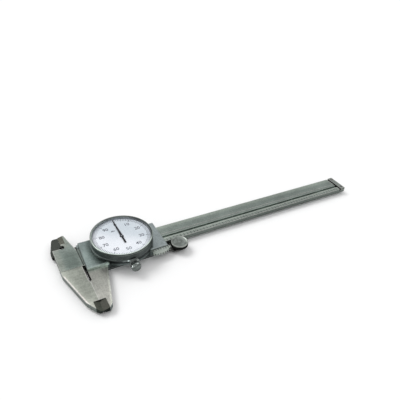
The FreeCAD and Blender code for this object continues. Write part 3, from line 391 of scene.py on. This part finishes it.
def figures(labels, places, size, height, swell):
    """Plain numbers as flat faces, each centred on its place. swell makes their strokes bolder."""
    prints = []
    for label, (x, y) in zip(labels, places):
        text = bpy.data.curves.new("figure", "FONT")
        text.body = label
        text.size = size
        text.resolution_u = 3
        text.offset = swell
        holder = bpy.data.objects.new("figure", text)
        flat = bpy.data.meshes.new_from_object(holder)
        spots = np.zeros(len(flat.vertices) * 3)
        flat.vertices.foreach_get("co", spots)
        spots = spots.reshape(-1, 3)
        middle = (spots.min(0) + spots.max(0)) / 2
        loops = [list(face.vertices) for face in flat.polygons]
        prints.append((spots - middle + (x, y, height), loops))
        bpy.data.objects.remove(holder)
        bpy.data.curves.remove(text)
        bpy.data.meshes.remove(flat)
    return joined(prints)


etched = Finish("etched_lines")
fade = etched.noise(900.0)
etched.feed(Base_Color=etched.mix(fade.rise(0.3, 0.7), tone(18, 20, 19), tone(48, 51, 49)),
            Roughness=0.5 + 0.2 * fade)
on_beam = BEAM_FACE + INK_LIFT
count = np.arange(SCALE_MARKS)
along = SCALE_START + count * TENTH
inch = count % 10 == 0
tall = np.where(inch, TALL_INCH, np.where(count % 5 == 0, TALL_HALF, TALL_TENTH))
marks = strokes(np.column_stack([along, tall / 2 + MARKS_FOOT]),
                np.tile((0.0, 1.0), (SCALE_MARKS, 1)), tall,
                np.where(inch, WIDE_INCH, WIDE_TENTH), on_beam)
tenths = [index for index in range(1, SCALE_MARKS) if index % 10]
inches = range(10, SCALE_MARKS, 10)
small = figures([str(index % 10) for index in tenths],
                [(along[index], -0.00592) for index in tenths], 0.00125, on_beam, 0.00003)
large = figures([str(index // 10) for index in inches],
                [(along[index] - 0.0009, -0.0058) for index in inches], 0.00165, on_beam, 0.00003)
add_piece("beam_scale", *joined([marks, small, large]), etched, "beam")

# ---------------------------------------------------------------------------
# Rack, end stop and its screws. The rack is a hardened strip let into the
# groove just below the face, and the gap below its teeth shows as a thin dark
# line. The stop is a small plate held by two slotted screws.
ALL_WAYS = (2600, 2600, 2600)


def rack_zones(steel):
    """The toothed wall and the tips of the teeth, lightened as painted light."""
    z = steel.axis("Z")
    # painted light: the toothed wall and the teeth's tips lightened
    wall = z.within(0.0045, 0.00486, 0.00004)
    lit_wall_low = z.fall(0.0043, 0.0046)
    tips = steel.axis("Y").fall(-0.0023, -0.0015) * z.rise(0.00488, 0.00494)
    return [(wall, grey(5.2), 0), (lit_wall_low, grey(1.7), 0.1), (tips, grey(1.28), 0)]


rack_steel = ground_steel("rack_steel", beam_shade, worn_and_lit_steel, wear=0.00012, zones=rack_zones)
dress(rack_steel, "rack")
stop_steel = ground_steel("stop_steel", tone(146, 152, 146), worn_and_lit_steel)
dress(stop_steel, "end_stop")
screw_steel = ground_steel("screw_steel", tone(128, 130, 128), worn_and_lit_steel, ALL_WAYS, wear=0.0002)
dress(screw_steel, "end_stop_screws", "back_cover_screws", "gib_screws", "movement_screws",
      "roller_pin")

# ---------------------------------------------------------------------------
# Slider with its jaw, plate, thumb rest and round dial seat, milled from one
# piece. Satin plated and cooler than the beam, with its jaw ground bare below
# the plate. Its inside nib behind the fixed one is painted dark, as shade.
SEAT_RADIUS = 0.0193
PLATE_FOOT = -0.0135   # the front edge of the plate, above the jaw
SERRATION = 3700.0     # the thumb rest's serrations, in radians to the metre


def slider_zones(steel):
    """What differs from the plated face, in metres from the dial's centre.

    First the bare jaw and its painted highlights, then the inside jaw painted dark as shade,
    then the seat, the plate's left and right ends, the thumb rest, and the walls at the
    plate's foot; painted shade and light lie on the seat, the plate and its walls."""
    x, y, z = (steel.axis(name) for name in "XYZ")
    top = steel.tops()
    low = z.fall(0.00495, 0.00499)
    below = y.fall(PLATE_FOOT - 0.00004, PLATE_FOOT + 0.00004)
    jaw = x.within(JAW_LINE - 0.0001, -0.0135)
    jaw = jaw * y.fall(-HALF_WIDTH - 0.00006, -HALF_WIDTH + 0.00004) * low * top
    # painted highlights: the jaw lighter towards its tip and along its right edge
    jaw_tip_highlight = jaw * y.fall(-0.038, -0.026)
    from_edge = x - 0.25 * y + 0.01103
    jaw_edge_highlight = jaw * below * from_edge.rise(-0.0016, -0.0007)
    # knife face darker and rougher: part its grind, part painted shade
    knife = x.within(JAW_LINE - 0.0001, -0.0242)
    knife = knife * y.fall(KNIFE_TOP - 0.00001, KNIFE_TOP + 0.00002) * low
    # the relief slot painted black, as the shadow in it
    slot = x.within(JAW_LINE - 0.0001, JAW_LINE + 0.00085)
    slot = slot * y.within(SLOT_END - 0.0002, -HALF_WIDTH + 0.0001)
    slot = slot * z.fall(JAW_FACE - 0.00007, JAW_FACE - 0.00001)
    # painted shadow: the face beside the slot painted near black, widening the slot's shade
    painted_slot_shadow = x.within(JAW_LINE - 0.0001, -0.0270, 0.0001) * y.within(-0.0220, -0.0079, 0.0003) * low
    # painted shade: the inside jaw behind the fixed one painted dark
    nib = x.fall(-0.0272, -0.0268) * y.rise(0.0079, 0.0080) * z.fall(0.0040, 0.0042)
    # the nib's relief hole painted black, as the shadow in it
    nib_hole = 1 - beyond(x - NIB_HOLE[0], y - NIB_HOLE[1], 0.0016, 0.0018)
    # painted shade: the dial seat's wall darkened
    seat = beyond(x, y, SEAT_RADIUS - 0.00005, SEAT_RADIUS + 0.00005) * z.rise(0.00697, 0.00700)
    left = x.fall(-0.0120, -0.0080) * z.rise(0.0055, 0.0065)
    left_back = left * y.rise(-0.0040, 0.0060)
    # painted shade: the plate's left wall darkened
    left_wall_shadow = steel.axis("X", "Normal").fall(-0.95, -0.85)
    left_wall_shadow = left_wall_shadow * x.fall(-0.0250, -0.0240) * z.rise(0.00500, 0.00510)
    # painted shadow at the plate's left shoulder
    shoulder_shadow = x.fall(-0.0256, -0.0254) * y.rise(-0.0080, -0.0078)
    shoulder_shadow = shoulder_shadow * z.within(0.00500, 0.00508, 0.00002)
    # painted shadow on the plate round the dial seat
    near = left * (1 - beyond(x, y, 0.0205, 0.0245))
    right = x.rise(0.0120, 0.0190) * z.rise(0.0040, 0.0045)
    rest = x.within(0.0140, 0.0282) * below * z.within(0.0045, 0.0062)
    # painted light: the thumb rest's side wall lit
    lit_rest_wall = rest * (1 - top)
    teeth = rest * (x * SERRATION).sine().rise(-0.3, 0.3)
    serration = teeth * (1 - top * y.fall(-0.0156, -0.0150))
    # painted light: the wall at the plate's foot lightened as if lit
    step = x.within(JAW_LINE - 0.0001, -0.0135) * y.fall(-0.0130, -0.0120)
    step = step * z.rise(0.00499, 0.0051) * steel.sides()
    # painted shade: the walls under the plate darkened
    under = y.within(-0.0150, -0.0130) * x.within(-0.0135, 0.0140) * (1 - top)
    return [
        (jaw, (1.38, 1.17, 1.10), 0),
        (jaw_tip_highlight, (1.28, 1.26, 1.26), 0),
        (jaw_edge_highlight, (1.35, 1.38, 1.36), 0),
        (left, (1.08, 1.10, 1.08), 0),
        (near, (0.50, 0.52, 0.51), 0),
        (right, (1.17, 1.12, 1.16), 0),
        (left_back, (0.80, 0.79, 0.80), 0),
        (left_wall_shadow, grey(0.40), 0.1),
        (shoulder_shadow, grey(0.50), 0.05),
        (rest, (1.22, 1.18, 1.07), 0),
        (lit_rest_wall, grey(2.2), 0),
        (serration, grey(0.35), 0),
        (step, (5.6, 5.5, 5.3), 0),
        (under, grey(0.45), 0),
        (seat, (0.20, 0.205, 0.21), 0),
        (nib, (0.24, 0.215, 0.20), 0.2),
        (knife, (0.22, 0.22, 0.205), 0.35),
        (painted_slot_shadow, grey(0.06), 0.3),
        (slot, SHADOW_BLACK, 0.3),
        (nib_hole, SHADOW_BLACK, 0.3),
    ]


slider_steel = ground_steel("slider_steel", tone(142, 154, 152), tone(206, 212, 208),
                            grain=(2400, 140, 5200), zones=slider_zones)
dress(slider_steel, "sliding_jaw")

# ---------------------------------------------------------------------------
# Back cover, gib strip, depth rod and the roller's sprung arm: sheet and drawn
# steel with the grain of the roll, and a brass gib. The movement's plates,
# wheels, bushes and arbors lie behind the dial.
cover_steel = ground_steel("cover_steel", tone(140, 146, 144), tone(210, 212, 210))
dress(cover_steel, "back_cover")
rod_steel = ground_steel("rod_steel", tone(132, 134, 131), tone(206, 206, 202))
dress(rod_steel, "depth_rod", "roller_arm")
gib_brass = ground_steel("gib_brass", tone(186, 158, 92), tone(228, 208, 150), rough=0.38,
                         walls=0.8)
dress(gib_brass, "gib_strip", "movement_plate", "movement_bridge", "movement_pillars",
      "hairspring_stud", "drive_gear", "take_up_gear")
bush_brass = ground_steel("bush_brass", tone(166, 130, 70), tone(222, 196, 132), ALL_WAYS,
                          walls=0.8)
dress(bush_brass, "lower_bushes", "upper_bushes")
arbor_steel = ground_steel("arbor_steel", tone(140, 140, 140), tone(210, 210, 210), ALL_WAYS,
                           walls=0.8)
dress(arbor_steel, "rack_pinion", "centre_pinion", "take_up_arbor")
spring_blue = ground_steel("spring_blue", tone(66, 78, 120), tone(130, 146, 186), ALL_WAYS,
                           walls=0.8)
dress(spring_blue, "hairspring")

# ---------------------------------------------------------------------------
# Thumb roller. A turned steel wheel, flush with the slider's plate, with a
# straight knurl on its edge painted black as shade, a raised rim with a
# painted highlight, and a shallow dished face that is mottled from handling.
ROLLER_AT = (0.0345, -0.01385, 0.0)


def lathe(profile, turns, knurl=None, cut=0.0, teeth=0, ring=False):
    """A profile of (radius, height) turned once about Z in even steps.

    Where knurl is 1 the radius dips by cut, teeth times a turn. A ring's
    profile closes on itself, and points on the axis become one."""
    profile = np.asarray(profile, float)
    size = len(profile)
    angles = np.arange(turns) * math.tau / turns
    weight = np.zeros(size) if knurl is None else np.asarray(knurl, float)
    dip = cut * (0.5 - 0.5 * np.cos(angles * teeth)) ** 0.8
    radius = profile[None, :, 0] - dip[:, None] * weight[None, :]
    height = np.broadcast_to(profile[None, :, 1], radius.shape)
    points = np.stack([radius * np.cos(angles)[:, None], radius * np.sin(angles)[:, None],
                       height], 2).reshape(-1, 3)
    around, up = np.meshgrid(np.arange(turns), np.arange(size if ring else size - 1),
                             indexing="ij")
    beside, above = (around + 1) % turns, (up + 1) % size
    faces = np.stack([around * size + up, beside * size + up,
                      beside * size + above, around * size + above], 2).reshape(-1, 4)
    target = np.arange(len(points))
    on_axis = np.hypot(points[:, 0], points[:, 1]) < 1e-9
    target[on_axis] = target[on_axis] % size
    loops = [list(dict.fromkeys(face)) for face in target[faces].tolist()]
    corners = np.concatenate([np.array(loop) for loop in loops])
    used, places = np.unique(corners, return_inverse=True)
    ends = np.cumsum([len(loop) for loop in loops])[:-1]
    return points[used], [loop.tolist() for loop in np.split(places, ends)]


def turned_finish(name, shade, bright, rough=0.26, centre=(0, 0, 0), mottle=0.26, zones=None):
    """Turned metal: fine rings about its axis, some dulling and bright corners, part wear and part
    painted highlight.
    """
    metal = Finish(name, Metallic=1.0)
    spot = metal.node("ShaderNodeMapping", {},
                      {"Vector": metal.place(), "Location": [-part for part in centre]})
    span = metal.node("ShaderNodeVectorMath", {"operation": "LENGTH"}, [spot], "Value")
    rings = metal.node("ShaderNodeTexNoise", {"noise_dimensions": "1D"},
                       {"W": span, "Scale": 5200.0, "Detail": 3.0})
    cloud = metal.noise(420.0)
    edge = metal.corners(0.0002)
    share = (rings * 0.4 + cloud * 0.6).rise(0.36, 0.64)
    face = metal.mix(share, scaled(shade, 1 - mottle), scaled(shade, 1 + mottle / 2))
    # bright corners: part wear, part a painted highlight
    wear_and_highlight = 0.75 * edge
    dulling = 0.16 * (cloud - 0.5) + 0.1 * (rings - 0.5)
    face, wear_and_highlight, dulling = lay_zones(metal, zones, face, wear_and_highlight, dulling)
    metal.feed(Base_Color=metal.mix(wear_and_highlight, face, bright), Roughness=rough + dulling,
               Normal=metal.bump(rings, 0.000005))
    return metal


def roller_zones(metal):
    """The knurled edge, painted black as shade, the duller dish and the rim round it, with a
    painted highlight.
    """
    x, y, z = (metal.axis(name) for name in "XYZ")
    # painted shade: the knurl painted black; painted highlight on the rim
    knurl = z.fall(0.0062, 0.0064)
    rim = beyond(x - ROLLER_AT[0], y - ROLLER_AT[1], 0.00462, 0.00480)
    return [(knurl, SHADOW_BLACK, 0.3), (1 - rim, (0.72, 0.75, 0.74), 0.1), (rim, (1.12, 1.14, 1.12), 0)]


roller_finish = turned_finish("roller_finish", tone(156, 160, 156), tone(222, 224, 220), 0.34,
                              ROLLER_AT, mottle=0.4, zones=roller_zones)
low, base, top = 0.00255, 0.00395, 0.00695
hub, edge = 0.0029, 0.0058
# each point of the profile, with how deep the knurl is there
roller_profile = [((0.0, low), 0), ((hub, low), 0), ((hub, base), 0), ((edge - 0.0004, base), 0),
                  ((edge - 0.0001, base + 0.0003), 0.7), ((edge, base + 0.0004), 1),
                  ((edge, top - 0.0006), 1), ((edge - 0.0001, top - 0.0004), 0.7),
                  ((edge - 0.0003, top - 0.0001), 0), ((edge - 0.0006, top), 0),
                  ((edge - 0.0009, top - 0.00002), 0), ((edge - 0.0011, top - 0.0002), 0),
                  ((edge - 0.0013, top - 0.0003), 0), ((0.0020, top - 0.0003), 0),
                  ((0.0, top - 0.00026), 0)]
profile, knurl = zip(*roller_profile)
ROLLER_TEETH = 60
points, faces = lathe(profile, ROLLER_TEETH * 8, knurl, 0.00022, ROLLER_TEETH)
roller = add_piece("knurled_thumb_roller", points + ROLLER_AT, faces, roller_finish, "roller", 40)
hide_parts("thumb_roller")

# ---------------------------------------------------------------------------
# Lock screw above the slider and bezel clamp screw below the dial. Small
# knurled knobs, chrome plated, each with a polished rounded end.
bright_plate = turned_finish("bright_plate", tone(112, 118, 115), tone(206, 212, 212),
                             rough=0.24, mottle=0.5)


def knob(name, shank, head, end, shank_radius, radius, ribs, side, place, body, cad):
    """A knurled knob laid along Y towards side.

    Its shank runs from shank to head and its head from there to end, all in metres along Y
    from place. ribs is how many the knurl has."""
    profile = [((0.0, shank), 0), ((shank_radius, shank), 0), ((shank_radius, head), 0),
               ((radius - 0.0004, head), 0), ((radius - 0.0001, head + 0.0003), 0.8),
               ((radius, head + 0.0005), 1), ((radius, end - 0.0009), 1),
               ((radius - 0.0001, end - 0.0007), 0.8), ((radius - 0.0003, end - 0.0004), 0),
               ((radius * 0.72, end - 0.00012), 0), ((radius * 0.35, end - 0.00002), 0),
               ((0.0, end), 0)]
    profile, knurl = zip(*profile)
    points, faces = lathe(profile, ribs * 10, knurl, 0.00026, ribs)
    laid = np.column_stack([points[:, 0], side * points[:, 2], -side * points[:, 1]]) + place
    piece = add_piece(name, laid, faces, bright_plate, body, 40)
    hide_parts(cad)


knob("knurled_lock_screw", shank=0.0090, head=0.01225, end=0.01625, shank_radius=0.00125,
     radius=0.0020, ribs=24, side=1, place=(0.0, 0.0, 0.0033), body="lock_knob",
     cad="lock_screw")
knob("knurled_clamp_screw", shank=0.01505, head=0.0219, end=0.0259, shank_radius=0.0012,
     radius=0.0030, ribs=32, side=-1, place=(0.0, 0.0, 0.00685), body="clamp_knob",
     cad="bezel_clamp_screw")
claw_plate = turned_finish("claw_plate", tone(214, 218, 216), tone(248, 250, 250), rough=0.42)
dress(claw_plate, "bezel_clamp_claw")

# ---------------------------------------------------------------------------
# Dial case and bezel. The case is a plain ring that guides the bezel. The
# bezel is a turned ring, plated, with a satin top, a polished outer corner and
# a fine coin edge. Its light and shade are painted: a darker coin edge and foot,
# lit and shaded parts of its top, and a glint at its foot.
case_finish = turned_finish("case_finish", tone(104, 106, 106), tone(180, 180, 180))
dress(case_finish, "dial_case")


def bezel_zones(metal):
    """Painted light and shade: the darker coin edge, the crown lit and shaded, the darker foot and
    a glint on it.

    The crown is the flat top: its rim is the outer part, its lip the inner one, and the wall
    goes down from the lip to the dial. front, left and right are as the dial is read."""
    x, y, z = (metal.axis(name) for name in "XYZ")
    # all these zones are painted light and shade, as reflections on the ring would fall; the glow
    # and glint are painted highlights
    front = y.fall(-0.0140, -0.0060)
    right = x.rise(0.0080, 0.0150) * (1 - front)
    left = x.fall(-0.0120, -0.0040) * (1 - front)
    crown = z.rise(0.0137, 0.0140)
    rim = beyond(x, y, 0.0194, 0.0197) * crown
    lip = crown - rim
    wall = (1 - beyond(x, y, 0.01875, 0.01885)) * (1 - crown)
    waist = z.rise(0.0092, 0.0094) * z.fall(0.01335, 0.0136)
    foot = z.fall(0.0092, 0.0094)
    painted_glow = foot * x.within(-0.0066, -0.0036, 0.001) * front
    painted_glint = foot * x.within(-0.0034, -0.0014, 0.0006) * front
    return [
        (waist, (0.50, 0.51, 0.53), 0),
        (waist * front, (0.95, 0.96, 0.97), 0),
        (lip * front, grey(4.0), 0.03),
        (rim * front, (0.32, 0.33, 0.34), 0.03),
        (crown * y.rise(0.005, 0.015), grey(0.75), 0),
        (lip * left, grey(2.0), 0),
        (wall * (1 - right), grey(2.0), 0),
        ((lip + wall) * right, (0.45, 0.46, 0.47), 0.03),
        (rim * right, grey(2.6), 0),
        (foot, grey(1.3), 0),
        (foot * front, (0.16, 0.165, 0.175), 0.03),
        (painted_glow, grey(4.0), 0),
        (painted_glint, grey(20.0), 0),
    ]


bezel_finish = turned_finish("bezel_finish", tone(120, 127, 123), tone(150, 157, 153), rough=0.34,
                             mottle=0.16, zones=bezel_zones)
outer, inner, ledge = 0.0200, 0.0187, 0.0176
waist = outer - 0.00036
foot, rim = 0.00835, 0.01435
ledge_low, ledge_high = 0.0118, 0.01215
# each point of the profile, with how deep the coin edge is there
bezel_profile = [((inner, foot), 0), ((outer - 0.0003, foot), 0),
                 ((outer - 0.00005, foot + 0.00008), 0), ((outer, foot + 0.00025), 0),
                 ((outer, foot + 0.0007), 0), ((outer - 0.00006, foot + 0.00085), 0),
                 ((waist, foot + 0.00115), 1), ((waist, rim - 0.0014), 1),
                 ((outer - 0.00008, rim - 0.0010), 0), ((outer, rim - 0.0009), 0),
                 ((outer, rim - 0.0005), 0), ((outer - 0.00012, rim - 0.0002), 0),
                 ((outer - 0.0004, rim - 0.00003), 0), ((outer - 0.0006, rim), 0),
                 ((inner + 0.0003, rim), 0), ((inner + 0.00008, rim - 0.00006), 0),
                 ((inner, rim - 0.0002), 0), ((inner, ledge_high), 0), ((ledge, ledge_high), 0),
                 ((ledge, ledge_low), 0), ((inner, ledge_low), 0)]
profile, coin = zip(*bezel_profile)
COIN_TEETH = 180
points, faces = lathe(profile, COIN_TEETH * 6, coin, 0.00014, COIN_TEETH, ring=True)
bezel = add_piece("coin_edge_bezel", points, faces, bezel_finish, "dial_ring", 35)
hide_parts("bezel")

# ---------------------------------------------------------------------------
# Dial plate and its print. Enamelled white sheet, printed with a hundred
# divisions of a thousandth of an inch each, plain numbers at every tenth and
# the value of one division.
dial_white = Finish("dial_white")
grain = dial_white.noise(700.0)
haze = dial_white.noise(60.0, 2.0)
# the dial greyer towards the back and right, and mottled
greyer_to_back_right = (0.6 * dial_white.axis("X") + dial_white.axis("Y")).rise(-0.008, 0.007)
greyed = 0.7 * greyer_to_back_right + 0.3 * (grain * 0.4 + haze * 0.6).rise(0.3, 0.7)
dial_white.feed(Base_Color=dial_white.mix(greyed, tone(250, 251, 255), tone(208, 216, 222)),
                Roughness=0.36 + 0.12 * haze)
dress(dial_white, "dial_plate")
dial_ink = Finish("dial_ink")
fleck = dial_ink.noise(1500.0, 2.0)
# painted sheen: the ink paler towards the front, as if washed out by the crystal's sheen
washed_by_sheen = dial_ink.axis("Y").fall(-0.0175, -0.0080)
inked = dial_ink.mix(fleck.rise(0.35, 0.7), tone(46, 50, 64), tone(84, 88, 102))
dial_ink.feed(Base_Color=dial_ink.mix(washed_by_sheen, inked, tone(150, 156, 166)),
              Roughness=0.45 + 0.15 * fleck)
DIAL_FACE = 0.01255
SCALE_RADIUS = 0.0180
NUMBER_RADIUS = 0.0126
LONG_TENTH, LONG_FIFTH, LONG_ONE = 0.0027, 0.0023, 0.0019
WIDE_LONG, WIDE_SHORT = 0.00042, 0.00027
on_dial = DIAL_FACE + INK_LIFT
division = np.arange(100)
tenth = division % 10 == 0
turned = math.pi / 2 - division * math.tau / 100
pointing = np.column_stack([np.cos(turned), np.sin(turned)])
long = np.where(tenth, LONG_TENTH, np.where(division % 5 == 0, LONG_FIFTH, LONG_ONE))
lines = strokes(pointing * (SCALE_RADIUS - long / 2)[:, None], pointing, long,
                np.where(tenth, WIDE_LONG, WIDE_SHORT), on_dial)
numbers = figures([str(value) for value in division[tenth]], NUMBER_RADIUS * pointing[tenth],
                  0.0037, on_dial, 0.00005)
unit = figures([".001"], [(-0.0036, 0.0070)], 0.0017, on_dial, 0.00008)
dial_print = add_piece("dial_print", *joined([lines, numbers, unit]), dial_ink, "dial_ring")

# ---------------------------------------------------------------------------
# Spacing ring and crystal. The ring is satin grey and holds the crystal off
# the dial. The crystal is a clear moulded disc, domed and polished.


def ring_zones(metal):
    """The ring's right side, darker as painted shade."""
    return [(metal.axis("X").rise(0.0080, 0.0150), (0.45, 0.46, 0.47), 0)]


ring_grey = turned_finish("ring_grey", tone(152, 157, 162), tone(196, 200, 203), rough=0.4,
                          zones=ring_zones)
dress(ring_grey, "crystal_ring")
glass = Finish("crystal_glass", IOR=1.49)
smear = glass.noise(160.0)
glass.feed(Roughness=0.03 + 0.05 * smear)
clear = glass.node("ShaderNodeBsdfTransparent", {}, {"Color": (0.975, 0.98, 0.985, 1)})
outside = 1 - glass.node("ShaderNodeNewGeometry", output="Backfacing")
sheen = glass.node("ShaderNodeFresnel", {}, {"IOR": 1.36}) * outside
gloss = Value(glass, glass.shader.outputs[0])
both = glass.node("ShaderNodeMixShader", {}, [sheen, clear, gloss])
glass.tree.links.new(both.socket, glass.tree.nodes["Material Output"].inputs["Surface"])
dome_radius, dome_foot, dome_rise = 0.0184, 0.0142, 0.0003
underside = 0.01355
share = np.linspace(1.0, 0.0, 25)
dome = np.column_stack([dome_radius * share, dome_foot + dome_rise * (1 - share ** 2)])
crystal_profile = [(0.0, underside), (dome_radius, underside), (0.01865, 0.01365),
                   (0.01868, 0.0141)] + dome.tolist()
points, faces = lathe(crystal_profile, 192)
crystal = add_piece("domed_crystal", points, faces, glass, "dial_ring", 30)
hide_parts("crystal")

# ---------------------------------------------------------------------------
# Needle and its hub. A needle stamped from thin sheet with a low ridge down
# its middle and a counterweight tail, painted black, on a turned grey hub.
needle_black = Finish("needle_black", Specular_IOR_Level=0.12)
dust = needle_black.noise(1200.0)
needle_black.feed(Base_Color=needle_black.mix(dust.rise(0.3, 0.75), tone(7, 8, 15),
                                              tone(20, 21, 32)),
                  Roughness=0.42 + 0.2 * dust)


def ridged_blade(stations, low, edge, ridge):
    """A flat blade along Y. Each station is its y and half width.

    There the section has two low corners, two edges above them and a ridge between those."""
    along, half = np.asarray(stations, float).T
    across = np.stack([-half, half, half, 0 * half, -half], 1)
    height = np.broadcast_to([low, low, edge, ridge, edge], across.shape)
    onward = np.broadcast_to(along[:, None], across.shape)
    points = np.stack([across, onward, height], 2).reshape(-1, 3)
    last = len(along) - 1
    step, side = np.meshgrid(np.arange(last), np.arange(5), indexing="ij")
    after = (side + 1) % 5
    faces = np.stack([step * 5 + side, step * 5 + after,
                      (step + 1) * 5 + after, (step + 1) * 5 + side], 2).reshape(-1, 4)
    return points, faces.tolist() + [[4, 3, 2, 1, 0], [last * 5 + side for side in range(5)]]


stations = [(-0.0071, 0.00036), (-0.0068, 0.00064), (-0.0015, 0.00062), (0.0, 0.00084),
            (0.0015, 0.00080), (0.0169, 0.00036), (0.0175, 0.00008)]
points, faces = ridged_blade(stations, low=0.0129, edge=0.01298, ridge=0.0131)
needle = add_piece("stamped_needle", points, faces, needle_black, "pointer")
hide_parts("needle")
hub_finish = turned_finish("hub_finish", tone(56, 60, 70), tone(120, 124, 130))
dress(hub_finish, "needle_hub")

# ---------------------------------------------------------------------------
# Floor, room and lamp. A pale table in an even pale room, with one broad soft
# lamp high at the back left. Seen straight, or in metal and glass, both are white.


def seen_white(tree):
    """1 for what the camera, a gloss or a clear piece looks at, and 0 for the light that falls."""
    rays = [tree.node("ShaderNodeLightPath", output=kind) for kind in
            ("Is Camera Ray", "Is Glossy Ray", "Is Transmission Ray")]
    return (rays[0] + rays[1] + rays[2]).rise(0.0, 1.0)


floor_finish = Finish("floor", Roughness=0.9)
drift = floor_finish.noise(6.0, 2.0)
pale = floor_finish.mix(drift, (0.72, 0.72, 0.73, 1), (0.78, 0.78, 0.78, 1))
shown = floor_finish.mix(seen_white(floor_finish), pale, (0.96, 0.96, 0.96, 1))
floor_finish.feed(Base_Color=shown)
floor_mesh = bpy.data.meshes.new("floor")
floor_mesh.from_pydata([(-4, -4, 0), (4, -4, 0), (4, 4, 0), (-4, 4, 0)], [], [(0, 1, 2, 3)])
floor_mesh.materials.append(floor_finish.material)
floor = bpy.data.objects.new("floor", floor_mesh)
bpy.context.scene.collection.objects.link(floor)

world = bpy.data.worlds.new("room")
bpy.context.scene.world = world
world.use_nodes = True
room = Tree(world.node_tree)
outward = room.node("ShaderNodeTexCoord", output="Generated")
up = room.node("ShaderNodeSeparateXYZ", {}, [outward], "Z")
walls = room.mix(up.rise(-0.1, 1.0), (0.58, 0.59, 0.60, 1), (0.86, 0.86, 0.86, 1))
camera_ray = room.node("ShaderNodeLightPath", output="Is Camera Ray")
backdrop = world.node_tree.nodes["Background"]
seen = room.mix(camera_ray, walls, (1, 1, 1, 1))
world.node_tree.links.new(seen.socket, backdrop.inputs["Color"])
backdrop.inputs["Strength"].default_value = 1.0

lamp = bpy.data.lights.new("lamp", "SUN")
lamp.energy = 1.15
lamp.angle = math.radians(28)
towards_lamp = Vector((-0.45, 0.62, 1.0))
lamp_holder = bpy.data.objects.new("lamp", lamp)
lamp_holder.rotation_mode = "QUATERNION"
lamp_holder.rotation_quaternion = towards_lamp.to_track_quat("Z", "Y")
bpy.context.scene.collection.objects.link(lamp_holder)

# The camera stands low to the left and looks along the caliper. Its three
# turns are in radians, and its lens is as long as its picture's pixels say.
YAW, PITCH, ROLL = -0.53752774, 0.60984037, 0.06984500
CAMERA_AT = (-0.07184156, -0.21476890, 0.19959009)
LENS_PIXELS = 451.573
PICTURE_PIXELS = 400
forward = np.array([-math.sin(YAW) * math.cos(PITCH), math.cos(YAW) * math.cos(PITCH),
                    -math.sin(PITCH)])
level = np.array([math.cos(YAW), math.sin(YAW), 0.0])
upward = np.cross(level, forward)
turn = np.eye(4)
turn[:3, 0] = level * math.cos(ROLL) + upward * math.sin(ROLL)
turn[:3, 1] = -level * math.sin(ROLL) + upward * math.cos(ROLL)
turn[:3, 2] = -forward
turn[:3, 3] = CAMERA_AT
lens = bpy.data.cameras.new("camera")
lens.sensor_width = 36.0
lens.lens = LENS_PIXELS / PICTURE_PIXELS * lens.sensor_width
lens.clip_start = 0.01
camera = bpy.data.objects.new("camera", lens)
camera.matrix_world = Matrix(turn.tolist())
bpy.context.scene.collection.objects.link(camera)
bpy.context.scene.camera = camera
bpy.context.scene.view_settings.view_transform = "Standard"
